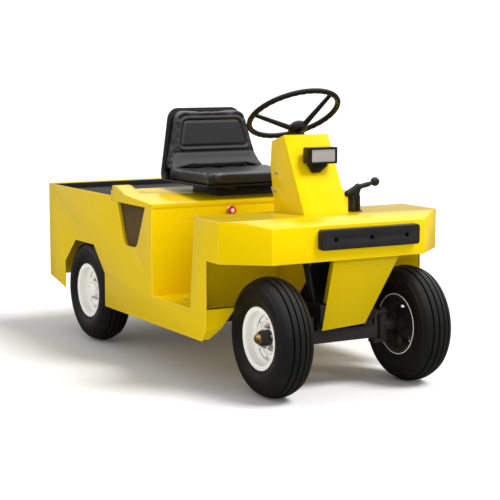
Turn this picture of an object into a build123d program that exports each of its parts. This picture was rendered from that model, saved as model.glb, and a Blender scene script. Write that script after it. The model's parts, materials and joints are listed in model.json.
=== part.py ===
from build123d import *
from math import cos, radians, sin
import os

# Electric tow tractor for baggage trolleys, in millimetres.
# X runs to the driver's left, Y to the rear, Z up. Lengths along Y are laid out from the
# front axle and heights from the ground; save() then puts the origin under the middle.

# Overall layout
WHEELBASE = 1364
BODY_HALF = 500
REAR_OVERHANG = 397
BODY_REAR = WHEELBASE + REAR_OVERHANG
HITCH_REACH = 99
TYRE_RADIUS = 230
PANEL = 4
SEAM = 0.3
FIT = 0.05
MID_Y = (BODY_REAR + HITCH_REACH - TYRE_RADIUS) / 2

# Heights of the body
SILL_Z = 195
FLOOR_Z = 310
FLOOR_THICK = 8
NOSE_BOTTOM_Z = 511
NOSE_FRONT_Z = 647
NOSE_DECK_Z = 669
LID_SEAT_Z = 666
RIM_Z = 688
REAR_BOTTOM_Z = 253
CARGO_DECK_Z = 654
MAT_THICK = 8

# Places along the body
NOSE_FRONT_Y = -58
NOSE_BEVEL_Y = 20
NOSE_CORNER_Y = 74
PILLAR_Y = 175
BULKHEAD_Y = 302
FOOTWELL_TOP_Y = 269
FOOTWELL_LOW_Y = 308
AXLE_TO_BAY = 319
BAY_LENGTH = 398
LID_REAR_Y = WHEELBASE - AXLE_TO_BAY
RISER_Y = LID_REAR_Y - BAY_LENGTH
NOSE_FACE_HALF = 346

# Front axle and steering
FRONT_TRACK_HALF = 313
KINGPIN_X = 190
KINGPIN_RADIUS = 9
KINGPIN_HEAD = 14
AXLE_BEAM = 50
AXLE_BEAM_TOP = 240
YOKE_RADIUS = 22
YOKE_EAR = 15
KNUCKLE_HEIGHT = 96
STEERING_ARM = 120
ARM_THICK = 12
ARM_BOTTOM_Z = 250
ARM_EYE = 14
BALL_PIN_RADIUS = 6
TIE_ROD_RADIUS = 8
TIE_ROD_Z = 236
COLUMN_TILT = 31
COLUMN_RADIUS = 19
WHEEL_CENTRE_Y = 363
WHEEL_CENTRE_Z = 1050
WHEEL_RING = 184
WHEEL_GRIP = 12
WHEEL_DISH = 60

# Wheels, measured from the middle plane of the tyre with the outer side at plus
TYRE_HALF = 70
TREAD_HALF = 52
SHOULDER_DROP = 16
BEAD_RADIUS = 108
BEAD_HALF = 51
RIM_HALF = 58
RIM_LIP = 121
RIM_WALL = 4
HUB_RADIUS = 31
HUB_FLANGE = 62
DISC_X = 8
DISC_WALL = 5
STUDS = 5
STUD_CIRCLE = 45
SPINDLE_RADIUS = 14

# Rear axle, motor and springs
WHEEL_TO_SIDE = 7
REAR_TRACK_HALF = BODY_HALF - PANEL - TYRE_HALF - WHEEL_TO_SIDE
AXLE_TUBE_RADIUS = 30
AXLE_PLATE_X = REAR_TRACK_HALF - 62
PINION_REACH = 120
BOWL_RADIUS = 92
BOWL_HALF = 88
MOTOR_RADIUS = 84
WHEEL_TO_SPRING = 79
SPRING_X = REAR_TRACK_HALF - TYRE_HALF - WHEEL_TO_SPRING
SPRING_WIDTH = 45
RAIL_WIDTH = 40

# Frame rails
SUBFRAME_X = 105
RAIL_BOTTOM_Z = 225
RAIL_TOP_Z = FLOOR_Z - FLOOR_THICK
REAR_RAIL_BOTTOM_Z = 322
REAR_RAIL_TOP_Z = 395
SUBFRAME_FRONT_Y = -45
SUBFRAME_BOTTOM_Z = 270
SUBFRAME_TOP_Z = 342

# Tower
TOWER_HALF = 102
TOWER_WALL = 3

# Seat
SEAT_HALF = 246
SEAT_FRONT_Y = RISER_Y - 17
SEAT_RISE = 28
LID_TOP_FRONT_Z = 684
LID_TOP_REAR_Z = 712
CATCH_LENGTH = 130
CATCH_WIDTH = 72
CATCH_HIGH = 20

# Rear spring
SPRING_PAD_TOP = 36
SPRING_HALF = 255
SPRING_RISE = 20
LEAVES = 4
LEAF_THICK = 6
LEAF_STEP = 58

# Cargo box and hitch
MAT_RIB_STEP = 44
HITCH_LOW_Z = 276
HITCH_HIGH_Z = 352
HITCH_JAW = 17
HITCH_NOSE = 36
HITCH_BORE = 13.5
HITCH_PLATE_HALF = 72
HITCH_PLATE_LIP = 26
HITCH_PLATE_THICK = 12
BATTERY_HIGH = 262
BATTERY_TO_SIDE = 66
BATTERY_TO_RISER = 18
BATTERY_TO_WALL = 25
SCREEN_STEP = 16

# Hinge of the seat deck
HINGE_RADIUS = 6
HINGE_Y = LID_REAR_Y + HINGE_RADIUS + SEAM
HINGE_Z = 700
BAY_WALL_Y = HINGE_Y - PANEL / 2
BAY_WALL_REAR_Y = HINGE_Y + PANEL / 2
HINGE_PIN_RADIUS = 3
HINGE_HALF = 300
HINGE_KNUCKLES = 5

# Backrest and cushion
PAN_THICK = 8
PAN_LOW_Z = LID_TOP_REAR_Z + SEAT_RISE
PAN_BEND = 46
PAN_EDGE = 6
SEAT_BOTTOM_Z = PAN_LOW_Z + PAN_THICK + SEAM
CUSHION_THICK = 46
SEAT_BACK_Y = RISER_Y + 375
BACK_FOOT_Z = 780
BACK_LEAN = 12
BACK_HIGH = 284
BACK_SHOULDER = 184
BACK_THICK = 52
BACK_CORNER = 52
BACK_HEEL = 22
CUSHION_CORNER = 14
CUSHION_EDGE = 12
SEAT_BASE_LENGTH = 186

# Pieces on nose, tower and riser
PAD_LOW_X = -146
PAD_HIGH_X = 306
PAD_THICK = 28
PAD_LOW_Z = 556
PAD_HIGH_Z = 634
LAMP_X = 13
LAMP_HALF = 62
LAMP_FRONT_Y = 156
LAMP_DEEP = 53
LAMP_WALL = 7
LAMP_LOW_Z = 862
LAMP_HIGH_Z = 926
BUTTON_X = -134
BUTTON_Z = 643
LEVER_X = 154
LEVER_Y = 150
LEVER_PIVOT_Z = 722
TAIL_LAMP_Z = 600
SKIRT_Y = SUBFRAME_FRONT_Y - PANEL
SKIRT_TOP = (-56, 272)
SKIRT_LOW = (-120, 77)
SKIRT_LOW_Z = 244
BRAKE_PEDAL_X = 170
ACCELERATOR_X = -170
PEDAL_Y = 345
PEDAL_LEAN = 58
PEDAL_HIGH = 88
PEDAL_WIDTH = 66
PEDAL_LENGTH = 84
REAR_DRUM_RADIUS = 84


def block(x, y, z):
    """A box given by its two limits along each axis."""
    spans = [(min(pair), max(pair)) for pair in (x, y, z)]
    middle = [(low + high) / 2 for low, high in spans]
    size = [high - low for low, high in spans]
    return Pos(*middle) * Box(*size)


def side_cut(outline, x_low, x_high):
    """A plate with an outline in (Y, Z), filling the space between two planes across X."""
    face = Plane.YZ * make_face(Polyline(*outline, close=True))
    return Pos(x_low, 0, 0) * extrude(face, amount=x_high - x_low, dir=(1, 0, 0))


def plan_cut(outline, z_low, z_high):
    """A plate with an outline in (X, Y), filling the space between two heights."""
    face = make_face(Polyline(*outline, close=True))
    return Pos(0, 0, z_low) * extrude(face, amount=z_high - z_low, dir=(0, 0, 1))


def front_cut(outline, y_low, y_high):
    """A plate with an outline in (X, Z), filling the space between two planes along Y."""
    points = [(x, 0, z) for x, z in outline]
    face = make_face(Polyline(*points, close=True))
    return Pos(0, y_low, 0) * extrude(face, amount=y_high - y_low, dir=(0, 1, 0))


def rod(start, end, radius):
    """A round bar from one point to another."""
    start, end = Vector(*start), Vector(*end)
    along = end - start
    base = Plane(origin=start, z_dir=along)
    return extrude(base * Circle(radius), amount=along.length)


def turned(outline):
    """A ring turned about the X axis from an outline in (X, radius)."""
    points = [(x, 0, radius) for x, radius in outline]
    return revolve(make_face(Polyline(*points, close=True)), axis=Axis.X)


def on_left(piece):
    """The mirror image of a piece across the middle plane."""
    return mirror(piece, about=Plane.YZ)


def both_sides(right_piece):
    """A piece of the right side with its mirror image, as two solids."""
    return Compound([right_piece, on_left(right_piece)])


def save(name, piece):
    """Write one piece with the origin on the ground under the middle of the length."""
    placed = Pos(0, -MID_Y, 0) * piece
    placed.label = name
    export_step(placed, f"parts/{name}.step")


def save_pair(name, right_piece):
    """Write a piece of the right side and its mirror image on the left."""
    save(f"{name}_right", right_piece)
    save(f"{name}_left", on_left(right_piece))


# Body panels

ARCH_FRONT_Y = WHEELBASE - 241
ARCH_REAR_Y = WHEELBASE + 212
ARCH_SHOULDER_Z = 340
ARCH_TOP_Z = 453
ARCH_TOP_FRONT_Y = WHEELBASE - 124
ARCH_TOP_REAR_Y = WHEELBASE + 84
ARCH_REAR_FOOT_Z = 215
NOTCH_TOP_FRONT_Y = RISER_Y + 61
NOTCH_TOP_REAR_Y = RISER_Y + 335
NOTCH_LOW_FRONT_Y = RISER_Y + 146
NOTCH_LOW_REAR_Y = RISER_Y + 266
NOTCH_BOTTOM_Z = 489
NOTCH_CORNER = 46
NOTCH_FLANGE = 12


def vent_notch(grow):
    """The tapered opening in the side of the battery bay, with round lower corners."""
    outline = [
        (NOTCH_TOP_FRONT_Y - grow, LID_SEAT_Z + 1),
        (NOTCH_LOW_FRONT_Y - grow, NOTCH_BOTTOM_Z - grow),
        (NOTCH_LOW_REAR_Y + grow, NOTCH_BOTTOM_Z - grow),
        (NOTCH_TOP_REAR_Y + grow, LID_SEAT_Z + 1),
    ]
    notch = side_cut(outline, -BODY_HALF - 1, -BODY_HALF + PANEL + NOTCH_FLANGE + 1)
    low_edges = notch.edges().filter_by(Axis.X).sort_by(Axis.Z)[:2]
    return fillet(low_edges, NOTCH_CORNER + grow)


def notch_flange():
    """The edge of the vent opening, folded inwards."""
    band = block((-BODY_HALF + PANEL / 2, -BODY_HALF + PANEL + NOTCH_FLANGE),
                 (RISER_Y + PANEL, LID_REAR_Y), (FLOOR_Z, LID_SEAT_Z))
    return vent_notch(PANEL) & band


def side_panel():
    """The right side sheet: cargo box, battery bay, sill, door pillar and side of the nose."""
    outline = [
        (BODY_REAR, REAR_BOTTOM_Z),
        (BODY_REAR, RIM_Z),
        (LID_REAR_Y + 6, RIM_Z),
        (LID_REAR_Y + 6, LID_SEAT_Z),
        (RISER_Y, LID_SEAT_Z),
        (RISER_Y, FLOOR_Z),
        (FOOTWELL_LOW_Y, FLOOR_Z),
        (FOOTWELL_TOP_Y, NOSE_DECK_Z),
        (NOSE_CORNER_Y + SEAM, NOSE_DECK_Z),
        (NOSE_CORNER_Y + SEAM, NOSE_BOTTOM_Z),
        (PILLAR_Y, NOSE_BOTTOM_Z),
        (PILLAR_Y, SILL_Z + 50),
        (PILLAR_Y + 37, SILL_Z),
        (ARCH_FRONT_Y, SILL_Z),
        (ARCH_FRONT_Y, ARCH_SHOULDER_Z),
        (ARCH_TOP_FRONT_Y, ARCH_TOP_Z),
        (ARCH_TOP_REAR_Y, ARCH_TOP_Z),
        (ARCH_REAR_Y, ARCH_SHOULDER_Z),
        (ARCH_REAR_Y, ARCH_REAR_FOOT_Z),
    ]
    sheet = side_cut(outline, -BODY_HALF, -BODY_HALF + PANEL)
    return sheet + notch_flange() - vent_notch(0)


def inner_half():
    """Half the clear width between the two side sheets."""
    return BODY_HALF - PANEL - SEAM


def rear_panel():
    """The flat back of the cargo box."""
    return block((-inner_half(), inner_half()), (BODY_REAR - PANEL, BODY_REAR),
                 (REAR_BOTTOM_Z, RIM_Z))


def floor_pan():
    """The foot plate, carried back under the batteries, with its corners cut for the wheels."""
    half = inner_half()
    outline = [
        (-half, PILLAR_Y + 6),
        (-half + 74, BULKHEAD_Y),
        (half - 74, BULKHEAD_Y),
        (half, PILLAR_Y + 6),
        (half, LID_REAR_Y),
        (-half, LID_REAR_Y),
    ]
    return plan_cut(outline, FLOOR_Z - FLOOR_THICK, FLOOR_Z)


def riser_panel():
    """The upright front of the battery bay, under the seat."""
    return block((-inner_half(), inner_half()), (RISER_Y, RISER_Y + PANEL),
                 (FLOOR_Z, LID_SEAT_Z))


def bulkhead():
    """The right half of the wall behind the front wheel, folded forward to the pillar."""
    half = inner_half()
    outline = [
        (-half, PILLAR_Y + 6),
        (-half + 74, BULKHEAD_Y),
        (-TOWER_HALF - SEAM, BULKHEAD_Y),
        (-TOWER_HALF - SEAM, BULKHEAD_Y + PANEL),
        (-half + 72, BULKHEAD_Y + PANEL),
        (-half, PILLAR_Y + 6 + 2 * PANEL),
    ]
    return plan_cut(outline, FLOOR_Z, NOSE_DECK_Z - PANEL - SEAM)


def nose_form(skin):
    """The nose as a closed form, drawn in by a skin thickness on every side it shows."""
    side = BODY_HALF - skin
    face = NOSE_FACE_HALF - skin * 0.6
    front = NOSE_FRONT_Y + skin
    corner = NOSE_CORNER_Y + skin * 0.5
    plan = [
        (-side, corner), (-face, front), (face, front), (side, corner),
        (side, BULKHEAD_Y), (-side, BULKHEAD_Y),
    ]
    profile = [
        (front, NOSE_BOTTOM_Z), (front, NOSE_FRONT_Z - skin),
        (NOSE_BEVEL_Y, NOSE_DECK_Z - skin), (BULKHEAD_Y, NOSE_DECK_Z - skin),
        (BULKHEAD_Y, NOSE_BOTTOM_Z),
    ]
    upright = plan_cut(plan, NOSE_BOTTOM_Z, NOSE_DECK_Z)
    return upright & side_cut(profile, -side, side)


def nose_shell():
    """The folded nose: front face, two cut corners, the bevel and the deck on top."""
    hollow = nose_form(PANEL)
    open_below = Pos(0, 0, -PANEL) * hollow
    behind_corner = block((-BODY_HALF, BODY_HALF), (NOSE_CORNER_Y, BULKHEAD_Y),
                          (NOSE_BOTTOM_Z, NOSE_DECK_Z))
    side_room = behind_corner - block((-inner_half(), inner_half()),
                                      (NOSE_CORNER_Y, BULKHEAD_Y),
                                      (NOSE_BOTTOM_Z, NOSE_DECK_Z))
    column_room = rod(column_point(0), column_point(COLUMN_LENGTH), COLUMN_RADIUS + SEAM)
    return nose_form(0) - hollow - open_below - side_room - tower_form(SEAM) - column_room


# Steering tower

TOWER_FRONT_Y = 115
TOWER_FOOT_FRONT_Y = 185
TOWER_SHIN = (82, 430)
TOWER_CHIN = (46, 542)
TOWER_TOP_FRONT = (268, 972)
TOWER_TOP_REAR = (362, 943)
TOWER_KNEE = (372, 840)
TOWER_WAIST = (347, 722)
TOWER_FOOT = (318, FLOOR_Z)
TOWER_BREAK_Z = 676


def tower_outline():
    """The side view of the tower, in (Y, Z), from its front foot round to its rear foot."""
    return [
        (TOWER_FOOT_FRONT_Y, FLOOR_Z),
        TOWER_SHIN,
        TOWER_CHIN,
        (TOWER_FRONT_Y, TOWER_BREAK_Z),
        TOWER_TOP_FRONT,
        TOWER_TOP_REAR,
        TOWER_KNEE,
        TOWER_WAIST,
        TOWER_FOOT,
    ]


def tower_form(grow):
    """The tower as a closed form, with all its sides moved out by the same amount."""
    face = make_face(Polyline(*tower_outline(), close=True))
    if grow:
        face = offset(face, amount=grow, kind=Kind.INTERSECTION)
    half = TOWER_HALF + grow
    return Pos(-half, 0, 0) * extrude(Plane.YZ * face, amount=2 * half, dir=(1, 0, 0))


def column_point(distance):
    """A point on the steering axis, at a distance below the middle of the wheel."""
    tilt = radians(COLUMN_TILT)
    return (0, WHEEL_CENTRE_Y - distance * sin(tilt), WHEEL_CENTRE_Z - distance * cos(tilt))


def steering_tower():
    """The sheet tower, open below, with a hole on top for the steering column."""
    hollow = tower_form(-TOWER_WALL)
    lowered = Pos(0, 0, -TOWER_WALL - 1) * hollow
    column_hole = rod(column_point(0), column_point(COLUMN_LENGTH), COLUMN_RADIUS + SEAM)
    return tower_form(0) - hollow - lowered - column_hole


# Steering column, gear and wheel

COLUMN_TOP = WHEEL_DISH + 32
COLUMN_LENGTH = 740
GEAR_HALF = 34
GEAR_BOTTOM_Z = 272
GEAR_TOP_Z = 412
SHAFT_RADIUS = 10


def steering_column():
    """The jacket tube of the column, bored for the shaft of the steering wheel."""
    tube = rod(column_point(COLUMN_TOP), column_point(COLUMN_LENGTH), COLUMN_RADIUS)
    bore = rod(column_point(COLUMN_TOP - 1), column_point(COLUMN_TOP + 120), SHAFT_RADIUS + FIT)
    return tube - bore


def steering_gear():
    """The steering box on its foot plate, with a slanted neck for the column."""
    low = column_point(COLUMN_LENGTH)
    body = block((-GEAR_HALF, GEAR_HALF), (-GEAR_HALF, GEAR_HALF), (GEAR_BOTTOM_Z, GEAR_TOP_Z))
    body = fillet(body.edges().filter_by(Axis.Z), 8)
    neck_foot = (0, 0, GEAR_TOP_Z - 30)
    neck = rod(neck_foot, low, COLUMN_RADIUS + 5)
    foot = block((-SUBFRAME_X + RAIL_WIDTH / 2, SUBFRAME_X - RAIL_WIDTH / 2),
                 (-GEAR_HALF, GEAR_HALF), (GEAR_BOTTOM_Z, GEAR_BOTTOM_Z + 14))
    column_room = rod(column_point(COLUMN_LENGTH - 200), low, COLUMN_RADIUS + SEAM)
    sector_bore = rod((0, 0, GEAR_BOTTOM_Z - 1), (0, 0, GEAR_BOTTOM_Z + 50), SHAFT_RADIUS + FIT)
    return body + neck + foot - column_room - sector_bore


def wheel_plane():
    """The plane of the steering wheel, with its normal up along the steering axis."""
    tilt = radians(COLUMN_TILT)
    return Plane(origin=column_point(0), x_dir=(1, 0, 0), z_dir=(0, sin(tilt), cos(tilt)))


def steering_wheel():
    """Ring, three dished spokes, boss and shaft."""
    ring = Torus(WHEEL_RING, WHEEL_GRIP)
    boss = Pos(0, 0, -WHEEL_DISH) * Cylinder(34, 30)
    boss = fillet(boss.edges().group_by(Axis.Z)[-1], 12)
    shaft = Pos(0, 0, -WHEEL_DISH - 70) * Cylinder(SHAFT_RADIUS, 130)
    wheel = ring + boss + shaft
    for angle in (150, 30, 270):
        tip = (WHEEL_RING * cos(radians(angle)), WHEEL_RING * sin(radians(angle)), 0)
        root = (24 * cos(radians(angle)), 24 * sin(radians(angle)), -WHEEL_DISH + 4)
        wheel += rod(root, tip, 8)
    return wheel_plane() * wheel


# Front axle, knuckles and linkage

AXLE_BEAM_MID = AXLE_BEAM_TOP - AXLE_BEAM / 2
YOKE_LOW_Z = TYRE_RADIUS - KNUCKLE_HEIGHT / 2 - SEAM
YOKE_HIGH_Z = TYRE_RADIUS + KNUCKLE_HEIGHT / 2 + SEAM


def front_axle():
    """The square beam with a yoke and kingpin at each end, and two pads under the frame."""
    beam_half = KINGPIN_X - YOKE_RADIUS - 14
    axle = block((-beam_half, beam_half), (-AXLE_BEAM / 2, AXLE_BEAM / 2),
                 (AXLE_BEAM_TOP - AXLE_BEAM, AXLE_BEAM_TOP))
    for side in (-1, 1):
        back = block((side * (beam_half - 14), side * beam_half),
                     (-YOKE_RADIUS, YOKE_RADIUS),
                     (YOKE_LOW_Z - YOKE_EAR, YOKE_HIGH_Z + YOKE_EAR))
        axle += back
        for low in (YOKE_LOW_Z - YOKE_EAR, YOKE_HIGH_Z):
            arm = block((side * (beam_half - 14), side * KINGPIN_X),
                        (-YOKE_RADIUS, YOKE_RADIUS), (low, low + YOKE_EAR))
            ear = Pos(side * KINGPIN_X, 0, low + YOKE_EAR / 2) * Cylinder(YOKE_RADIUS, YOKE_EAR)
            axle += arm + ear
        axle += rod((side * KINGPIN_X, 0, YOKE_LOW_Z - YOKE_EAR),
                    (side * KINGPIN_X, 0, YOKE_HIGH_Z + YOKE_EAR), KINGPIN_RADIUS)
        axle += rod((side * KINGPIN_X, 0, YOKE_HIGH_Z + YOKE_EAR),
                    (side * KINGPIN_X, 0, YOKE_HIGH_Z + YOKE_EAR + 8), KINGPIN_HEAD)
        axle += block((side * (SUBFRAME_X - 20), side * (SUBFRAME_X + 20)), (-30, 30),
                      (AXLE_BEAM_TOP, SUBFRAME_BOTTOM_Z))
    return axle


def knuckle():
    """The right knuckle: boss on the kingpin, wheel spindle and steering arm."""
    bottom = TYRE_RADIUS - KNUCKLE_HEIGHT / 2
    boss = Pos(-KINGPIN_X, 0, TYRE_RADIUS) * Cylinder(20, KNUCKLE_HEIGHT)
    plate = rod((-KINGPIN_X, 0, TYRE_RADIUS), (-KINGPIN_X - 44, 0, TYRE_RADIUS), 26)
    spindle = rod((-KINGPIN_X, 0, TYRE_RADIUS),
                  (-FRONT_TRACK_HALF - 34, 0, TYRE_RADIUS), SPINDLE_RADIUS)
    arm = block((-KINGPIN_X - 11, -KINGPIN_X + 11), (0, STEERING_ARM),
                (ARM_BOTTOM_Z, ARM_BOTTOM_Z + ARM_THICK))
    eye = Pos(-KINGPIN_X, STEERING_ARM, ARM_BOTTOM_Z + ARM_THICK / 2) * Cylinder(ARM_EYE, ARM_THICK)
    pin = rod((-KINGPIN_X, STEERING_ARM, ARM_BOTTOM_Z),
              (-KINGPIN_X, STEERING_ARM, TIE_ROD_Z - 14), BALL_PIN_RADIUS)
    piece = boss + plate + spindle + arm + eye + pin
    return piece - rod((-KINGPIN_X, 0, bottom - 1),
                       (-KINGPIN_X, 0, bottom + KNUCKLE_HEIGHT + 1), KINGPIN_RADIUS + FIT)


def tie_rod():
    """The rod across both steering arms, with an eye at each end and one in the middle."""
    bar = rod((-KINGPIN_X, STEERING_ARM, TIE_ROD_Z), (KINGPIN_X, STEERING_ARM, TIE_ROD_Z),
              TIE_ROD_RADIUS)
    for x in (-KINGPIN_X, 0, KINGPIN_X):
        bar += Pos(x, STEERING_ARM, TIE_ROD_Z) * Cylinder(ARM_EYE, 20)
    for x, room in ((-KINGPIN_X, SEAM), (0, SEAM), (KINGPIN_X, FIT)):
        bar -= Pos(x, STEERING_ARM, TIE_ROD_Z) * Cylinder(BALL_PIN_RADIUS + room, 60)
    return bar


def pitman_arm():
    """The arm under the steering gear that pushes the middle of the tie rod."""
    plate = block((-11, 11), (0, STEERING_ARM), (ARM_BOTTOM_Z, ARM_BOTTOM_Z + ARM_THICK))
    for y, radius in ((0, ARM_EYE + 4), (STEERING_ARM, ARM_EYE)):
        plate += Pos(0, y, ARM_BOTTOM_Z + ARM_THICK / 2) * Cylinder(radius, ARM_THICK)
    shaft = rod((0, 0, ARM_BOTTOM_Z), (0, 0, GEAR_BOTTOM_Z + 44), SHAFT_RADIUS)
    pin = rod((0, STEERING_ARM, ARM_BOTTOM_Z), (0, STEERING_ARM, TIE_ROD_Z - 14),
              BALL_PIN_RADIUS)
    return plate + shaft + pin


# Wheels, made round the origin with the outer side at plus X

def tyre():
    """A ribless tyre with round sidewalls and a crowned tread."""
    shoulder = TYRE_RADIUS - SHOULDER_DROP
    waist = (BEAD_RADIUS + shoulder) / 2 + 4
    crown = ThreePointArc((-TREAD_HALF, 0, shoulder), (0, 0, TYRE_RADIUS),
                          (TREAD_HALF, 0, shoulder))
    right_wall = ThreePointArc((TREAD_HALF, 0, shoulder), (TYRE_HALF, 0, waist),
                               (BEAD_HALF, 0, BEAD_RADIUS + 14))
    left_wall = ThreePointArc((-BEAD_HALF, 0, BEAD_RADIUS + 14), (-TYRE_HALF, 0, waist),
                              (-TREAD_HALF, 0, shoulder))
    foot = Polyline((BEAD_HALF, 0, BEAD_RADIUS + 14), (BEAD_HALF, 0, BEAD_RADIUS),
                    (-BEAD_HALF, 0, BEAD_RADIUS), (-BEAD_HALF, 0, BEAD_RADIUS + 14))
    section = make_face([crown, right_wall, foot, left_wall])
    return revolve(section, axis=Axis.X)


def rim():
    """A pressed rim: two lips, a drop centre and a dished disc."""
    seat = BEAD_RADIUS - SEAM
    lip_in = BEAD_HALF + 1
    well = seat - 16
    barrel = turned([
        (-RIM_HALF, RIM_LIP), (-lip_in - 2, RIM_LIP), (-lip_in, seat), (-34, seat),
        (-26, well), (14, well), (22, seat), (lip_in, seat), (lip_in + 2, RIM_LIP),
        (RIM_HALF, RIM_LIP), (RIM_HALF, RIM_LIP - RIM_WALL),
        (lip_in + 2, seat - RIM_WALL), (24, seat - RIM_WALL),
        (16, well - RIM_WALL), (-28, well - RIM_WALL), (-36, seat - RIM_WALL),
        (-lip_in - 2, seat - RIM_WALL), (-RIM_HALF, RIM_LIP - RIM_WALL),
    ])
    disc = turned([
        (DISC_X - 6, well - 2), (DISC_X, well - 2), (DISC_X + 10, 76), (DISC_X + 10, 66),
        (DISC_X + DISC_WALL, 58), (DISC_X + DISC_WALL, HUB_RADIUS - 1),
        (DISC_X, HUB_RADIUS - 1), (DISC_X, 62), (DISC_X + 4, 68), (DISC_X + 4, 74),
    ])
    return barrel + disc


def hub(drum_radius):
    """A hub with its bore, the flange behind the disc, five studs with nuts and a drum."""
    body = turned([
        (-48, SPINDLE_RADIUS + FIT), (-48, 26), (-14, 26), (-14, HUB_FLANGE),
        (DISC_X, HUB_FLANGE), (DISC_X, HUB_RADIUS), (38, HUB_RADIUS),
        (44, HUB_RADIUS - 6), (44, 0), (38, 0), (38, SPINDLE_RADIUS + FIT),
    ])
    if drum_radius:
        body += turned([
            (-50, drum_radius - 6), (-50, drum_radius), (-10, drum_radius - 4),
            (-10, 30), (-14, 30), (-14, drum_radius - 6),
        ])
    for index in range(STUDS):
        angle = radians(90 + index * 360 / STUDS)
        y, z = STUD_CIRCLE * cos(angle), STUD_CIRCLE * sin(angle)
        body += rod((DISC_X - 10, y, z), (DISC_X + DISC_WALL + 18, y, z), 5)
        face = Plane(origin=(DISC_X + DISC_WALL, y, z), z_dir=(1, 0, 0))
        body += extrude(face * RegularPolygon(9, 6), amount=10)
    return body


# Frame, rear axle and drive

def subframe_rail():
    """The right gooseneck rail over the front axle."""
    outline = [
        (SUBFRAME_FRONT_Y, SUBFRAME_BOTTOM_Z), (SUBFRAME_FRONT_Y, SUBFRAME_TOP_Z),
        (100, SUBFRAME_TOP_Z), (140, RAIL_TOP_Z), (450, RAIL_TOP_Z), (450, RAIL_BOTTOM_Z),
        (335, RAIL_BOTTOM_Z), (250, SUBFRAME_BOTTOM_Z),
    ]
    return side_cut(outline, -SUBFRAME_X - RAIL_WIDTH / 2, -SUBFRAME_X + RAIL_WIDTH / 2)


def main_rail():
    """The right main rail, raised behind the battery bay to clear the rear axle."""
    rear = BODY_REAR - PANEL - SEAM
    kick = BAY_WALL_REAR_Y + SEAM
    outline = [
        (390, RAIL_BOTTOM_Z), (390, RAIL_TOP_Z), (kick, RAIL_TOP_Z),
        (kick + 64, REAR_RAIL_TOP_Z), (rear, REAR_RAIL_TOP_Z), (rear, REAR_RAIL_BOTTOM_Z),
        (kick + 36, REAR_RAIL_BOTTOM_Z), (kick - 36, RAIL_BOTTOM_Z),
    ]
    return side_cut(outline, -SPRING_X - RAIL_WIDTH / 2, -SPRING_X + RAIL_WIDTH / 2)


def nose_brace():
    """The right flat post from the frame up to the underside of the nose deck."""
    top = NOSE_DECK_Z - PANEL - SEAM
    outline = [
        (-SUBFRAME_X - 8, SUBFRAME_TOP_Z - 1), (-SUBFRAME_X + 8, SUBFRAME_TOP_Z - 1),
        (-SUBFRAME_X - 62, top), (-SUBFRAME_X - 78, top),
    ]
    return front_cut(outline, 24, 54)


def chassis_frame():
    """The welded frame: two gooseneck rails, two main rails, three bars and two posts."""
    half = subframe_rail() + main_rail() + nose_brace()
    frame = half + on_left(half)
    reach = SPRING_X
    for low_y, high_y, low_z, high_z in (
        (390, 450, RAIL_BOTTOM_Z, RAIL_TOP_Z),
        (LID_REAR_Y - 85, LID_REAR_Y - 35, RAIL_BOTTOM_Z, RAIL_TOP_Z),
        (BODY_REAR - 64, BODY_REAR - PANEL - SEAM, REAR_RAIL_BOTTOM_Z, REAR_RAIL_TOP_Z),
    ):
        frame += block((-reach, reach), (low_y, high_y), (low_z, high_z))
    return frame


def rear_axle():
    """The axle tube with its differential bowl, spindles and brake back plates."""
    plate = AXLE_PLATE_X
    axle = rod((-plate, 0, 0), (plate, 0, 0), AXLE_TUBE_RADIUS)
    neck, crown = BOWL_HALF * 0.91, BOWL_HALF * 0.39
    bowl = turned([
        (-BOWL_HALF, 0), (-neck, BOWL_RADIUS * 0.56), (-crown, BOWL_RADIUS),
        (crown, BOWL_RADIUS), (neck, BOWL_RADIUS * 0.56), (BOWL_HALF, 0),
    ])
    nose = rod((0, -PINION_REACH, 0), (0, 0, 0), BOWL_RADIUS * 0.52)
    axle += bowl + nose
    for side in (-1, 1):
        axle += rod((side * (plate - 8), 0, 0), (side * plate, 0, 0), REAR_DRUM_RADIUS + 4)
        axle += rod((side * (plate - 8), 0, 0), (side * (REAR_TRACK_HALF + 34), 0, 0),
                    SPINDLE_RADIUS)
        axle += block((side * (SPRING_X - 22), side * (SPRING_X + 22)), (-40, 40),
                      (8, SPRING_PAD_TOP))
    return Pos(0, WHEELBASE, TYRE_RADIUS) * axle


def drive_motor():
    """The electric motor in line with the differential, with its end cap."""
    front = LID_REAR_Y + PANEL + 12
    back = WHEELBASE - PINION_REACH - SEAM
    motor = rod((0, front + 14, TYRE_RADIUS), (0, back, TYRE_RADIUS), MOTOR_RADIUS)
    cap = rod((0, front, TYRE_RADIUS), (0, front + 14, TYRE_RADIUS), MOTOR_RADIUS - 18)
    return motor + cap


def leaf_spring():
    """The right rear spring: four leaves in arcs under the rail, with a hanger at each end."""
    base_z = TYRE_RADIUS + SPRING_PAD_TOP
    curve = (SPRING_HALF ** 2 + SPRING_RISE ** 2) / (2 * SPRING_RISE)
    centre = Pos(0, WHEELBASE, base_z + curve) * Rot(0, 90, 0)
    spring = None
    for index in range(LEAVES):
        outer = curve - index * LEAF_THICK
        half_long = SPRING_HALF - (LEAVES - 1 - index) * LEAF_STEP
        ring = centre * (Cylinder(outer, SPRING_WIDTH) - Cylinder(outer - LEAF_THICK, SPRING_WIDTH))
        leaf = ring & block((-SPRING_WIDTH, SPRING_WIDTH),
                            (WHEELBASE - half_long, WHEELBASE + half_long),
                            (base_z - 1, base_z + 2 * SPRING_RISE + LEAVES * LEAF_THICK))
        spring = leaf if spring is None else spring + leaf
    for y in (WHEELBASE - SPRING_HALF + 18, WHEELBASE + SPRING_HALF - 18):
        spring += block((-SPRING_WIDTH / 2, SPRING_WIDTH / 2), (y - 18, y + 18),
                        (base_z + SPRING_RISE + LEAVES * LEAF_THICK - 14, REAR_RAIL_BOTTOM_Z))
    return Pos(-SPRING_X, 0, 0) * spring


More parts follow.
